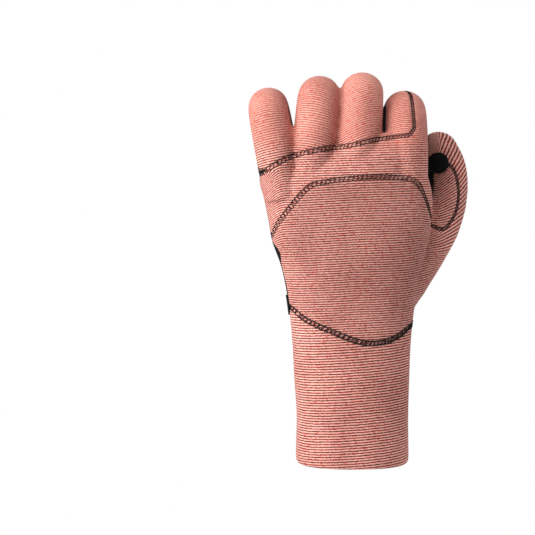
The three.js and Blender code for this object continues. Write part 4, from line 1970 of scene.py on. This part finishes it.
@dataclass
class Patches:
    """The round patches glued over the corners of the seams."""

    form: GloveForm
    skin: Skin
    rings: int = 6
    sides: int = 48
    lift: float = 0.12
    bevel: float = 0.25
    softening: int = 2

    def places(self) -> tuple[PatchPlace, ...]:
        """The three patches' places.

        Returns:
            A place for each patch.
        """
        s = self.form.sizes
        wide, deep, high = s.half_palm, s.palm_depth, s.knuckle_height
        return (
            PatchPlace("thumb_patch", (1.085 * wide, 0.93 * deep, 0.988 * high), (-0.1, -1, -0.1)),
            PatchPlace("palm_patch", (0.52 * wide, 0, 0.478 * high), (0.15, 1, 0)),
            PatchPlace("ulnar_patch", (-0.45 * wide, 0, 0.52 * high), (-1, 0, 0)),
        )

    def build(self, place: PatchPlace) -> Object:
        """Makes one patch that follows the outside.

        Args:
            place: Where it is.

        Returns:
            The patch.
        """
        radius = self.form.sizes.patch_diameter / 2 * MM
        start, out = np.array(place.behind), unit(np.array(place.out, float))
        centre, _ = self.skin.behind(start, out)
        bpy.ops.object.select_all(action="DESELECT")
        bpy.ops.mesh.primitive_circle_add(vertices=self.sides, radius=radius, fill_type="NGON")
        patch = bpy.context.object
        bpy.ops.object.mode_set(mode="EDIT")
        for _ in range(self.rings - 1):
            bpy.ops.mesh.inset(thickness=radius / self.rings)
        bpy.ops.mesh.poke()
        bpy.ops.object.mode_set(mode="OBJECT")
        patch.rotation_mode = "QUATERNION"
        patch.rotation_quaternion = Vector(out).to_track_quat("Z", "Y")
        patch.location = Vector(centre) * MM
        take(patch)
        bpy.ops.object.transform_apply(location=True, rotation=True, scale=True)
        for vertex in patch.data.vertices:
            spot = np.array(vertex.co) / MM
            place_on, way = self.skin.behind(spot - out * ((centre - start) @ out), out)
            vertex.co = Vector(place_on + way * self.lift) * MM
        finish_with(patch, "SMOOTH", factor=0.5, iterations=self.softening)
        thickness = self.form.sizes.patch_thickness * MM
        finish_with(patch, "SOLIDIFY", thickness=thickness, offset=1)
        finish_with(patch, "BEVEL", width=self.bevel * MM, segments=2, limit_method="ANGLE")
        patch.name = patch.data.name = f"{place.name}_cloth"
        bpy.ops.object.shade_smooth_by_angle(angle=SMOOTH_BELOW)
        return patch


@dataclass(frozen=True)
class Softbox:
    """A large soft light that faces the glove, its place in metres."""

    name: str
    place: tuple[float, float, float]
    width: float
    height: float
    power: float


@dataclass
class Studio:
    """The plain pale floor, the white room with its soft lights, and the camera."""

    middle: tuple[float, float, float] = (-0.0527, 0, 0.1219)
    camera_place: tuple[float, float, float] = (-0.0527, -0.9178, 0.1861)
    lens: float = 99.85
    clip: tuple[float, float] = (0.01, 50)
    floor_height: float = -0.32
    floor_radius: float = 1.0
    floor_sides: int = 96
    floor_clouds: float = 400
    floor_tones: Stops = ((0.2, (0.9, 0.9, 0.9)), (0.8, (0.92, 0.92, 0.92)))
    floor_roughness: float = 0.9
    room_glow: float = 0.11
    lights: tuple[Softbox, ...] = (
        Softbox("key_light", (-1.2, -0.66, 0.55), 1.3, 1.3, 33),
        Softbox("side_light", (1.2, 0.05, 0.4), 0.5, 1.0, 6),
        Softbox("top_light", (-0.25, -0.35, 1.5), 1.2, 1.0, 11.5),
    )

    def floor(self) -> None:
        """Makes the round, pale floor well below the glove."""
        bpy.ops.object.select_all(action="DESELECT")
        bpy.ops.mesh.primitive_circle_add(
            vertices=self.floor_sides,
            radius=self.floor_radius,
            fill_type="NGON",
            location=(0, 0, self.floor_height),
        )
        floor = bpy.context.object
        floor.name = "floor"
        bpy.ops.object.transform_apply(location=True, rotation=True, scale=True)
        made = Recipe("pale_floor")
        tone = made.ramp(made.mottle(self.floor_clouds), self.floor_tones)
        made.set(Base_Color=tone, Roughness=self.floor_roughness)
        floor.data.materials.append(made.material)

    def light(self) -> None:
        """Sets up the soft lights and the white room round them."""
        world = bpy.data.worlds.new("white_room")
        world.use_nodes = True
        tree = world.node_tree
        glow = tree.nodes["Background"]
        glow.inputs["Color"].default_value = (1, 1, 1, 1)
        glow.inputs["Strength"].default_value = self.room_glow
        paper = tree.nodes.new("ShaderNodeBackground")
        paper.inputs["Color"].default_value = (1, 1, 1, 1)
        mixed = tree.nodes.new("ShaderNodeMixShader")
        path = tree.nodes.new("ShaderNodeLightPath")
        tree.links.new(path.outputs["Is Camera Ray"], mixed.inputs["Fac"])
        tree.links.new(glow.outputs["Background"], mixed.inputs[1])
        tree.links.new(paper.outputs["Background"], mixed.inputs[2])
        tree.links.new(mixed.outputs["Shader"], tree.nodes["World Output"].inputs["Surface"])
        bpy.context.scene.world = world
        for box in self.lights:
            lamp = bpy.data.lights.new(box.name, "AREA")
            lamp.shape = "RECTANGLE"
            lamp.size, lamp.size_y, lamp.energy = box.width, box.height, box.power
            aim(put(box.name, lamp), box.place, self.middle)

    def camera(self) -> None:
        """Puts the camera where the photograph was taken from."""
        data = bpy.data.cameras.new("camera")
        data.lens = self.lens
        data.clip_start, data.clip_end = self.clip
        bpy.context.scene.camera = put("camera", data)
        aim(bpy.context.scene.camera, self.camera_place, self.middle)


@dataclass(frozen=True)
class FlatCut:
    """A panel before it is sewn: its width and length in metres and its area."""

    size: tuple[float, float]
    area: float


STANDS_FOR = {
    "cuff": ("cuff",),
    "hand_back": ("hand_back",),
    "knuckle_panel": ("knuckle_panel",),
    "fingers": tuple(f"{finger.name}_finger_back" for finger in FINGERS),
    "palm": ("palm", "thumb_front", *(f"{finger.name}_finger_front" for finger in FINGERS)),
}


def main() -> None:
    """Builds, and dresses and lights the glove."""
    logging.basicConfig(level=logging.INFO, format="%(message)s")
    bpy.context.scene.view_settings.view_transform = "Standard"
    finishes = {
        finish.name: finish.material()
        for finish in (KnitFace(), SmoothSkin(), Thread(), Lining(), FoamEdge())
    }
    form = GloveForm()
    cloth = Cloth(form, Pattern(form), SeamMap())
    cloth.cut()
    cloth.sew_lines()
    cloth.dress(finishes, STANDS_FOR)
    stitching = Stitching(cloth.seams, cloth.skin)
    for name in dict.fromkeys(seam.name for seam in cloth.seams.seams):
        stitches = stitching.sew(name)
        stitches.data.materials.append(finishes["black_thread"])
        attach(stitches, "root")
        log.info("%s: %d faces", stitches.name, len(stitches.data.polygons))
    patches = Patches(form, cloth.skin)
    for place in patches.places():
        patch = patches.build(place)
        patch.data.materials.append(finishes["smooth_skin"])
        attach(patch, "root")
        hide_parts(place.name)
        log.info("%s: %d faces", patch.name, len(patch.data.polygons))
    studio = Studio()
    studio.floor()
    studio.light()
    studio.camera()


if __name__ == "__main__":
    main()
